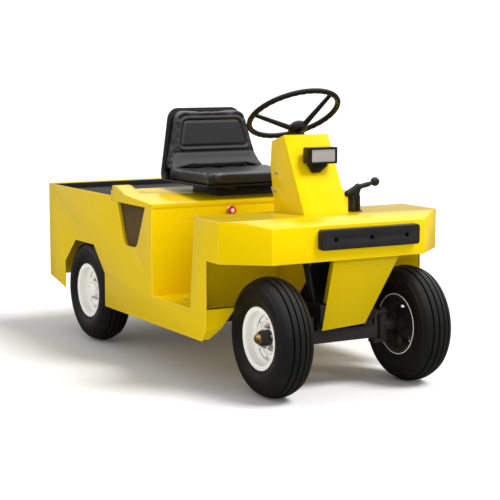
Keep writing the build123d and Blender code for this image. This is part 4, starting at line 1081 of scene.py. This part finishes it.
def seat_plinth():
    """The box that carries the seat, set back under the pan, with two slide rails on it."""
    low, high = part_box("seat_base")
    top = high.z - RAIL_HIGH
    box = bar("seat_plinth", (-PLINTH_HALF, low.y + PLINTH_SET_BACK, low.z),
              (PLINTH_HALF, high.y, top))
    choose(box, "FACE", lambda part, place: part.normal.z > 0.9)
    bpy.ops.transform.resize(value=PLINTH_TAPER)
    let_go()
    pieces = [rounded(box, 0.004)]
    for x in (-RAIL_X, RAIL_X):
        rail = bar("slide_rail", (x - RAIL_HALF, low.y + RAIL_SET_BACK, top - 0.0005),
                   (x + RAIL_HALF, high.y, high.z))
        pieces.append(rounded(rail, 0.0015))
    return wear(joined("seat_plinth", pieces), FRAME_BLACK)


fit(seat_plinth(), LID, "frame_paint", "seat_base")
print("seat: two pads, their pan and a plinth")


# %% [markdown]
# ## Lamp, button and lights
# The headlamp's lens is pressed glass with upright flutes, which spread the light. The
# flutes are every second column of a fine grid, moved forward. The stop button is a
# mushroom, turned from an outline as on a lathe. A pale cap on its dome is a painted
# highlight.

# %% Headlamp lens
LAMP_LOW, LAMP_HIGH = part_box("headlamp_lens")
FLUTES = 16
FLUTE_DEEP = 0.0018
LENS_EDGE = 0.002
LENS_THICK = 0.004
BEZEL_WIDE = 0.0073
BEZEL_INSET = 0.0072
BEZEL_FRONT, BEZEL_BACK = 0.0045, 0.0005


def fluted_lens():
    """The lens: a thin block whose front is a grid with every second line moved forward."""
    centre = (LAMP_LOW + LAMP_HIGH) / 2
    let_go()
    bpy.ops.mesh.primitive_grid_add(
        x_subdivisions=FLUTES * 2, y_subdivisions=8, size=1,
        location=(centre.x, LAMP_LOW.y, centre.z), rotation=(pi / 2, 0, 0))
    size = LAMP_HIGH - LAMP_LOW
    bpy.context.object.scale = (size.x, size.z, 1)
    lens = settle(named("fluted_lens"))
    step = size.x / (FLUTES * 2)
    choose(lens, "VERT", lambda part, place:
           round((place.x - LAMP_LOW.x) / step) % 2 == 1 and
           LAMP_LOW.z + LENS_EDGE < place.z < LAMP_HIGH.z - LENS_EDGE)
    bpy.ops.transform.translate(value=(0, -FLUTE_DEEP, 0))
    let_go()
    finish_with(lens, "SOLIDIFY", thickness=LENS_THICK, offset=-1)
    clean(lens, angle=60)
    return wear(lens, LAMP_GLASS)


fit(fluted_lens(), BODY, "lamp_glass", "headlamp_lens")


def lamp_bezel():
    """The black frame round the lens: a plate, inset on both faces and opened through."""
    low = Vector((LAMP_LOW.x - BEZEL_WIDE, LAMP_LOW.y - BEZEL_FRONT, LAMP_LOW.z - BEZEL_WIDE))
    high = Vector((LAMP_HIGH.x + BEZEL_WIDE, LAMP_LOW.y + BEZEL_BACK, LAMP_HIGH.z + BEZEL_WIDE))
    plate = bar("lamp_bezel", low, high)
    for way in (-1, 1):
        choose(plate, "FACE", lambda part, place: part.normal.y * way > 0.9)
        bpy.ops.mesh.inset(thickness=BEZEL_INSET)
        bpy.ops.mesh.delete(type="FACE")
    choose(plate, "EDGE", lambda part, place: len(part.link_faces) == 1)
    bpy.ops.mesh.bridge_edge_loops()
    let_go()
    return wear(rounded(clean(plate), 0.0009), PLASTIC)


fit(lamp_bezel(), BODY, "frame_paint")

# %% Stop button
BUTTON_PLACE = Vector((-0.134, FRONT_Y + 0.647, 0.643))
COLLAR = ((0, 0), (0, 17.5), (3, 17.5), (5, 15.5), (5, 0))
KNOB = ((5, 0), (5, 10), (9, 11), (10, 18), (14, 20), (18, 18.5), (20, 13), (20.4, 8), (20.4, 0))
BUTTON_HIGHLIGHT = ((20.2, 0), (20.2, 9), (21.2, 8.6), (21.6, 6), (21.7, 0))


def button_part(name, outline, material):
    """One turned part of the stop button, standing out of the riser."""
    part = spun(name, outline, steps=48, closed=False)
    turn = Matrix.Rotation(-pi / 2, 4, "Z")
    part.data.transform(Matrix.Translation(BUTTON_PLACE) @ turn)
    return wear(part, material)


button = button_part("button_collar", COLLAR, ZINC)
fit(button, BODY, "red_plastic", "push_button")
fit(button_part("button_knob", KNOB, RED), BODY, "red_plastic")
# The pale cap on the knob is a painted highlight.
fit(button_part("button_highlight", BUTTON_HIGHLIGHT, PALE_HIGHLIGHT), BODY, "red_plastic")

# %% Tail lamps
TAIL_LAMP_PLACE = Vector((0.410, FRONT_Y + 1.761, 0.600))
LAMP_RIM = ((0, 0), (0, 44), (8, 44), (12, 42), (12, 36), (10, 36), (10, 0))
LAMP_LENS = ((9, 0), (9, 35.5), (16, 34.5), (21, 28), (23.5, 16), (24, 0))


def tail_lamp(side):
    """One round tail lamp: a black rim and a domed red lens."""
    place = TAIL_LAMP_PLACE * Vector((side, 1, 1))
    turn = Matrix.Translation(place) @ Matrix.Rotation(pi / 2, 4, "Z")
    rim = spun(f"tail_rim_{side_word(side)}", LAMP_RIM, steps=48, closed=False)
    lens = spun(f"tail_lens_{side_word(side)}", LAMP_LENS, steps=48, closed=False)
    for part, material in ((rim, RUBBER), (lens, RED)):
        part.data.transform(turn)
        fit(wear(part, material), BODY, "red_plastic")
    return lens


tail_lenses = [tail_lamp(side) for side in (-1, 1)]
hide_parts("tail_lamps")
print("tail lamps:", len(tail_lenses))


# %% [markdown]
# ## Vent screens
# Behind the tapered openings is expanded metal. A grid turned on its corner, with the
# Wireframe modifier, gives its diamonds. The grid is first cut to size with Bisect, so
# that no wire sticks out past the frame.

# %% Expanded metal
SCREEN_LOW, SCREEN_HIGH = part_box("vent_screens")
SCREEN_CELLS = 40
DIAMOND = 0.0085
WIRE = 0.0016
SCREEN_INSET = 0.001
BACKING_INSET = 0.004
BACKING_HALF = 0.0008


def cut_flat(piece, place, normal):
    """Cuts away the side of a piece that the normal points to."""
    choose(piece, "VERT", everything)
    bpy.ops.mesh.bisect(plane_co=place, plane_no=normal, clear_outer=True)
    let_go()


def expanded_screen(side):
    """One sheet of diamond mesh behind a vent opening."""
    low, high = SCREEN_LOW, SCREEN_HIGH
    x = side * (high.x - SCREEN_INSET)
    centre = Vector((x, (low.y + high.y) / 2, (low.z + high.z) / 2))
    let_go()
    bpy.ops.mesh.primitive_grid_add(x_subdivisions=SCREEN_CELLS, y_subdivisions=SCREEN_CELLS,
                                    size=SCREEN_CELLS * DIAMOND, location=centre,
                                    rotation=(0, pi / 2, 0))
    grid = settle(named(f"screen_{side_word(side)}"))
    turn = Matrix.Rotation(pi / 4, 4, "X")
    grid.data.transform(Matrix.Translation(centre) @ turn @ Matrix.Translation(-centre))
    for corner, way in ((low, -1), (high, 1)):
        cut_flat(grid, corner, (0, way, 0))
        cut_flat(grid, corner, (0, 0, way))
    finish_with(grid, "WIREFRAME", thickness=WIRE, use_replace=True, use_even_offset=False)
    return fit(wear(grid, BROWN_STEEL), BODY, "screen_metal")


screens = [expanded_screen(side) for side in (-1, 1)]
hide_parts("vent_screens")


def screen_backing(side):
    """A thin brown sheet behind the mesh, which keeps the batteries out of sight."""
    inner = side * (SCREEN_HIGH.x - BACKING_INSET)
    sheet = bar(f"screen_backing_{side_word(side)}",
                (inner - BACKING_HALF, SCREEN_LOW.y, SCREEN_LOW.z),
                (inner + BACKING_HALF, SCREEN_HIGH.y, SCREEN_HIGH.z))
    return fit(wear(rounded(sheet, 0.0004), BROWN_STEEL), BODY, "screen_metal")


screens += [screen_backing(side) for side in (-1, 1)]
print("screens and their backings:", len(screens))


# %% [markdown]
# ## Flaps
# Under each front bulkhead hangs a flap, cut slanting so that a steered tyre clears it.
# Its outline is drawn and filled, a Bisect adds the line of the fold, and the points
# below it move back, level with the cut corner of the side panel.

# %% Flaps under the front bulkheads
FLAP_Y = -0.6337
FLAP_THICK = 0.004
FLAP_POINTS = ((497, 322), (375, 322), (375, 311), (467, 201), (497, 201))
FLAP_FOLD_Z = 0.245
FLAP_FOLD_BACK = 0.031


def bulkhead_flap(side):
    """The slanted lower end of a front bulkhead, its lip folded back."""
    points = [(side * x, z) for x, z in FLAP_POINTS]
    flap = drawn(f"bulkhead_flap_{side_word(side)}", points, closed=True)
    choose(flap, "VERT", everything)
    bpy.ops.mesh.edge_face_add()
    bpy.ops.mesh.select_all(action="SELECT")
    bpy.ops.mesh.bisect(plane_co=(0, 0, FLAP_FOLD_Z), plane_no=(0, 0, 1))
    choose(flap, "VERT", lambda part, place: place.z < FLAP_FOLD_Z - 0.01)
    bpy.ops.transform.translate(value=(0, FLAP_FOLD_BACK, 0))
    let_go()
    finish_with(flap, "SOLIDIFY", thickness=FLAP_THICK, offset=0)
    flap.data.transform(Matrix.Translation((0, FLAP_Y, 0)))
    return fit(wear(rounded(clean(flap), 0.001), YELLOW), BODY, "body_paint")


flaps = [bulkhead_flap(side) for side in (-1, 1)]
print("flaps:", len(flaps))


# %% [markdown]
# ## Load mat and batteries
# The walls of the load box get thin black sheets in the rubber finish: painted shade
# inside the box. The mat on its deck is ribbed: strips of a fine grid are drawn up. The
# batteries fill the bay under the seat. They show only with the lid up, as six cases
# with filler caps and posts.

# %% Ribbed mat
MAT_LOW, MAT_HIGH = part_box("cargo_mat")
RIBS = 44
STRIPS_PER_RIB = 4
RIB_HIGH = 0.0032
SHEET_THICK = 0.0035
SHEET_TOP = 0.004


def ribbed_mat():
    """The mat: a thin sheet with long ribs, each two of four strips of a grid."""
    let_go()
    strips = RIBS * STRIPS_PER_RIB
    size = MAT_HIGH - MAT_LOW
    centre = (MAT_LOW + MAT_HIGH) / 2
    bpy.ops.mesh.primitive_grid_add(x_subdivisions=strips, y_subdivisions=1, size=1,
                                    location=(centre.x, centre.y, MAT_LOW.z + SHEET_TOP))
    bpy.context.object.scale = (size.x, size.y, 1)
    mat = settle(named("ribbed_mat"))
    step = size.x / strips
    choose(mat, "FACE", lambda part, place:
           int((place.x - MAT_LOW.x) / step) % STRIPS_PER_RIB in (1, 2))
    bpy.ops.mesh.extrude_region_move(TRANSFORM_OT_translate={"value": (0, 0, RIB_HIGH)})
    let_go()
    finish_with(mat, "SOLIDIFY", thickness=SHEET_THICK, offset=-1)
    rounded(mat, 0.0006, segments=1)
    return wear(mat, RUBBER)


fit(ribbed_mat(), BODY, "black_rubber", "cargo_mat")
print("ribs of the mat:", RIBS)

# %% Painted shade on the walls of the load box
SHADE_SHEET_THICK = 0.0015
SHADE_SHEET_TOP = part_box("rear_panel")[1].z - 0.005


def box_shade_sheets():
    """Thin black sheets on the two sides and the rear of the load box: painted shade."""
    low, high, thick, top = MAT_LOW, MAT_HIGH, SHADE_SHEET_THICK, SHADE_SHEET_TOP
    walls = {
        "shade_sheet_left": ((high.x, low.y, low.z), (high.x + thick, high.y, top)),
        "shade_sheet_right": ((low.x - thick, low.y, low.z), (low.x, high.y, top)),
        "shade_sheet_rear": ((low.x, high.y, low.z), (high.x, high.y + thick, top)),
    }
    for name, (start, end) in walls.items():
        fit(wear(rounded(bar(name, start, end), 0.0004), RUBBER), BODY, "black_rubber")
    print("shade_sheets:", len(walls))


box_shade_sheets()

# %% Batteries
BATTERY_LOW, BATTERY_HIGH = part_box("battery_pack")
CELLS = (3, 2)
CELL_GAP = 0.004
CASE_TOP, LID_TOP = 0.90, 0.95
FILLER_SPACING, FILLER_RADIUS, FILLER_HIGH = 0.28, 0.016, 0.008
POST_PLACE, POST_RADIUS, POST_HIGH = 0.36, 0.008, 0.010


def battery_model(size):
    """One battery at the origin: a case, a raised lid, three filler caps and two posts."""
    half = size / 2
    case = bar("battery", (-half.x, -half.y, 0), (half.x, half.y, size.z * CASE_TOP))
    choose(case, "FACE", lambda part, place: part.normal.z > 0.9)
    bpy.ops.mesh.inset(thickness=0.006)
    lift = (0, 0, size.z * (LID_TOP - CASE_TOP))
    bpy.ops.mesh.extrude_region_move(TRANSFORM_OT_translate={"value": lift})
    let_go()
    parts = [wear(rounded(case, 0.003), CASE_GREY)]
    top = size.z * LID_TOP
    for share in (-FILLER_SPACING, 0, FILLER_SPACING):
        y = share * size.y
        filler = round_bar("filler_cap", (0, y, top - 0.001), (0, y, top + FILLER_HIGH),
                           FILLER_RADIUS, 24)
        parts.append(wear(rounded(filler, 0.002), YELLOW))
    for share in (-POST_PLACE, POST_PLACE):
        x = share * size.x
        post = round_bar("post", (x, 0, top - 0.001), (x, 0, top + POST_HIGH), POST_RADIUS, 20)
        parts.append(wear(rounded(post, 0.001), ZINC))
    return joined("battery_model", parts)


def battery_bank():
    """Six batteries, one model copied, in three columns and two rows."""
    columns, rows = CELLS
    room = BATTERY_HIGH - BATTERY_LOW
    size = Vector((room.x / columns - CELL_GAP, room.y / rows - CELL_GAP, room.z))
    model = battery_model(size)
    bank = []
    for column in range(columns):
        for row in range(rows):
            x = BATTERY_LOW.x + (column + 0.5) * room.x / columns
            y = BATTERY_LOW.y + (row + 0.5) * room.y / rows
            bank.append(copy_of(model, "battery", Matrix.Translation((x, y, BATTERY_LOW.z))))
    bpy.data.objects.remove(model)
    return joined("battery_bank", bank)


fit(battery_bank(), BODY, "battery_case", "battery_pack")
print("batteries:", CELLS[0] * CELLS[1])


# %% [markdown]
# ## Fasteners
# Bolts show where pieces are held: on the floor, on the sides of the tower, under the
# front axle and deep in the holes of the bumper. One bolt head is modelled, and each
# place is a line of a short table: a point and the direction in which the head faces.

# %% Bolts
FORWARD, UP, DOWN = (0, -1, 0), (0, 0, 1), (0, 0, -1)
RIGHT, LEFT = (-1, 0, 0), (1, 0, 0)
RIGHT_BOLTS = (
    (-0.423, -0.319, 0.310, UP), (-0.1022, -0.491, 0.819, RIGHT),
    (-0.1022, -0.483, 0.747, RIGHT),
)
LEFT_BOLTS = tuple((-x, y, z, LEFT if way == RIGHT else way) for x, y, z, way in RIGHT_BOLTS)
BOLT_TURN = 0.7
BEAM_HALF = 0.12
BEAM_BOTTOM = min(vertex.co.z for vertex in nodes["front_axle"].data.vertices
                  if abs(vertex.co.x) < BEAM_HALF)
AXLE_BOLTS = [(x, FRONT_Y, BEAM_BOTTOM, DOWN) for x in (-0.093, 0.017, 0.082)]


def bolts(name, places):
    """Bolt heads at a table of places, as one piece."""
    heads = []
    for index, (x, y, z, way) in enumerate(places):
        place = facing((x, y, z), way, index * BOLT_TURN)
        heads.append(copy_of(bolt_head, f"{name}_{index}", place))
    return fit(joined(name, heads), BODY, "frame_paint")


bolts("body_bolts", RIGHT_BOLTS + LEFT_BOLTS)
wear(bolts("axle_bolts", AXLE_BOLTS), CAST_BLACK)

PAD_LOW, PAD_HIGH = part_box("bumper_pad")
PAD_MIDDLE = (PAD_LOW + PAD_HIGH) / 2
PAD_HOLES = [(PAD_LOW.x + share * (PAD_HIGH.x - PAD_LOW.x), PAD_MIDDLE.y, PAD_MIDDLE.z, FORWARD)
             for share in (0.14, 0.5, 0.86)]
# The bolt heads in the bumper's holes are near-black: painted shade in the holes.
wear(bolts("bumper_bolts", PAD_HOLES), HOLE_SHADE)
for model in (bolt_head, wheel_nut):
    bpy.data.objects.remove(model)
print("bolts:", 2 * len(RIGHT_BOLTS) + len(AXLE_BOLTS) + len(PAD_HOLES))


# %% [markdown]
# ## Studio
# The tractor stands on a pale plain floor under a white sky, with a soft grey shadow. One
# large soft sun from above the front left makes the nose the brightest face and leaves
# the near side a tone darker. A photographer puts black flags round a glossy object, so
# that it doesn't mirror a white room. Here the floor and the sky near the horizon are
# dimmer in mirror reflections, and the yellow stays deep.

# %% Floor, sun and sky
FLOOR_SIZE = 400
FLOOR_IN_MIRROR = 0.15
HORIZON_IN_MIRROR = 0.45
OVERHEAD_IN_MIRROR = 2.6
FADE_FROM, FADE_TO = 0.20, 0.80


def flagged(tree, bright, mirrored):
    """A brightness with a value of its own in mirror reflections."""
    path = tree.nodes.new("ShaderNodeLightPath")
    level = tree.nodes.new("ShaderNodeMapRange")
    level.inputs["To Min"].default_value = bright
    level.inputs["To Max"].default_value = mirrored
    tree.links.new(path.outputs["Is Glossy Ray"], level.inputs["Value"])
    return level.outputs["Result"]


def studio_floor():
    """A plain pale floor that runs on to the horizon."""
    let_go()
    bpy.ops.mesh.primitive_plane_add(size=FLOOR_SIZE, location=(0, 0, 0))
    floor = settle(named("studio_floor"))
    material = finish_of("pale studio floor", (0.84, 0.84, 0.84), (0.83, 0.83, 0.83),
                         gloss=(0.8, 0.9), ripple=(2, 0.0001), Specular_IOR_Level=0.1)
    tree = material.node_tree
    shader = tree.nodes["Principled BSDF"]
    painted = shader.inputs["Base Color"].links[0].from_socket
    darker = tree.nodes.new("ShaderNodeVectorMath")
    darker.operation = "SCALE"
    tree.links.new(painted, darker.inputs[0])
    tree.links.new(flagged(tree, 1.0, FLOOR_IN_MIRROR), darker.inputs["Scale"])
    tree.links.new(darker.outputs["Vector"], shader.inputs["Base Color"])
    wear(floor, material)


def studio_sun(strength, angle, place):
    """A large distant light, aimed from a place at the origin, with soft shadows."""
    light = bpy.data.lights.new("key_light", "SUN")
    light.energy = strength
    light.angle = radians(angle)
    holder = bpy.data.objects.new("key_light", light)
    bpy.context.scene.collection.objects.link(holder)
    holder.location = place
    holder.visible_glossy = False
    holder.rotation_euler = (-Vector(place)).to_track_quat("-Z", "Y").to_euler()


def studio_sky(near_horizon, overhead):
    """A white sky whose brightness changes from the horizon to overhead."""
    world = bpy.data.worlds.new("studio")
    bpy.context.scene.world = world
    world.use_nodes = True
    tree = world.node_tree
    way = tree.nodes.new("ShaderNodeTexCoord")
    split = tree.nodes.new("ShaderNodeSeparateXYZ")
    rise = tree.nodes.new("ShaderNodeMapRange")
    rise.inputs["From Min"].default_value = FADE_FROM
    rise.inputs["From Max"].default_value = FADE_TO
    background = tree.nodes["Background"]
    background.inputs["Color"].default_value = (1, 1, 1, 1)
    tree.links.new(way.outputs["Generated"], split.inputs["Vector"])
    tree.links.new(split.outputs["Z"], rise.inputs["Value"])
    tree.links.new(flagged(tree, near_horizon, HORIZON_IN_MIRROR), rise.inputs["To Min"])
    tree.links.new(flagged(tree, overhead, OVERHEAD_IN_MIRROR), rise.inputs["To Max"])
    tree.links.new(rise.outputs["Result"], background.inputs["Strength"])


studio_floor()
studio_sky(near_horizon=1.2, overhead=0.45)
studio_sun(strength=3.1, angle=26, place=(2.3, -2.7, 4.7))
print("studio: floor, sky and sun")

# %% Camera
CAMERA_PLACE = Vector((-2.995, -5.386, 1.274))
CAMERA_YAW = radians(-29.522)
CAMERA_PITCH = radians(7.654)
CAMERA_LENS = 103.1
SENSOR_WIDTH = 36


def studio_camera():
    """The camera at the photo's angle, as fitted on the corners of the body."""
    data = bpy.data.cameras.new("camera")
    data.lens = CAMERA_LENS
    data.sensor_width = SENSOR_WIDTH
    camera = bpy.data.objects.new("camera", data)
    bpy.context.scene.collection.objects.link(camera)
    camera.location = CAMERA_PLACE
    camera.rotation_euler = Euler((pi / 2 - CAMERA_PITCH, 0, CAMERA_YAW))
    bpy.context.scene.camera = camera


studio_camera()
bpy.context.scene.view_settings.view_transform = "Standard"
print("camera:", tuple(round(value, 3) for value in CAMERA_PLACE))
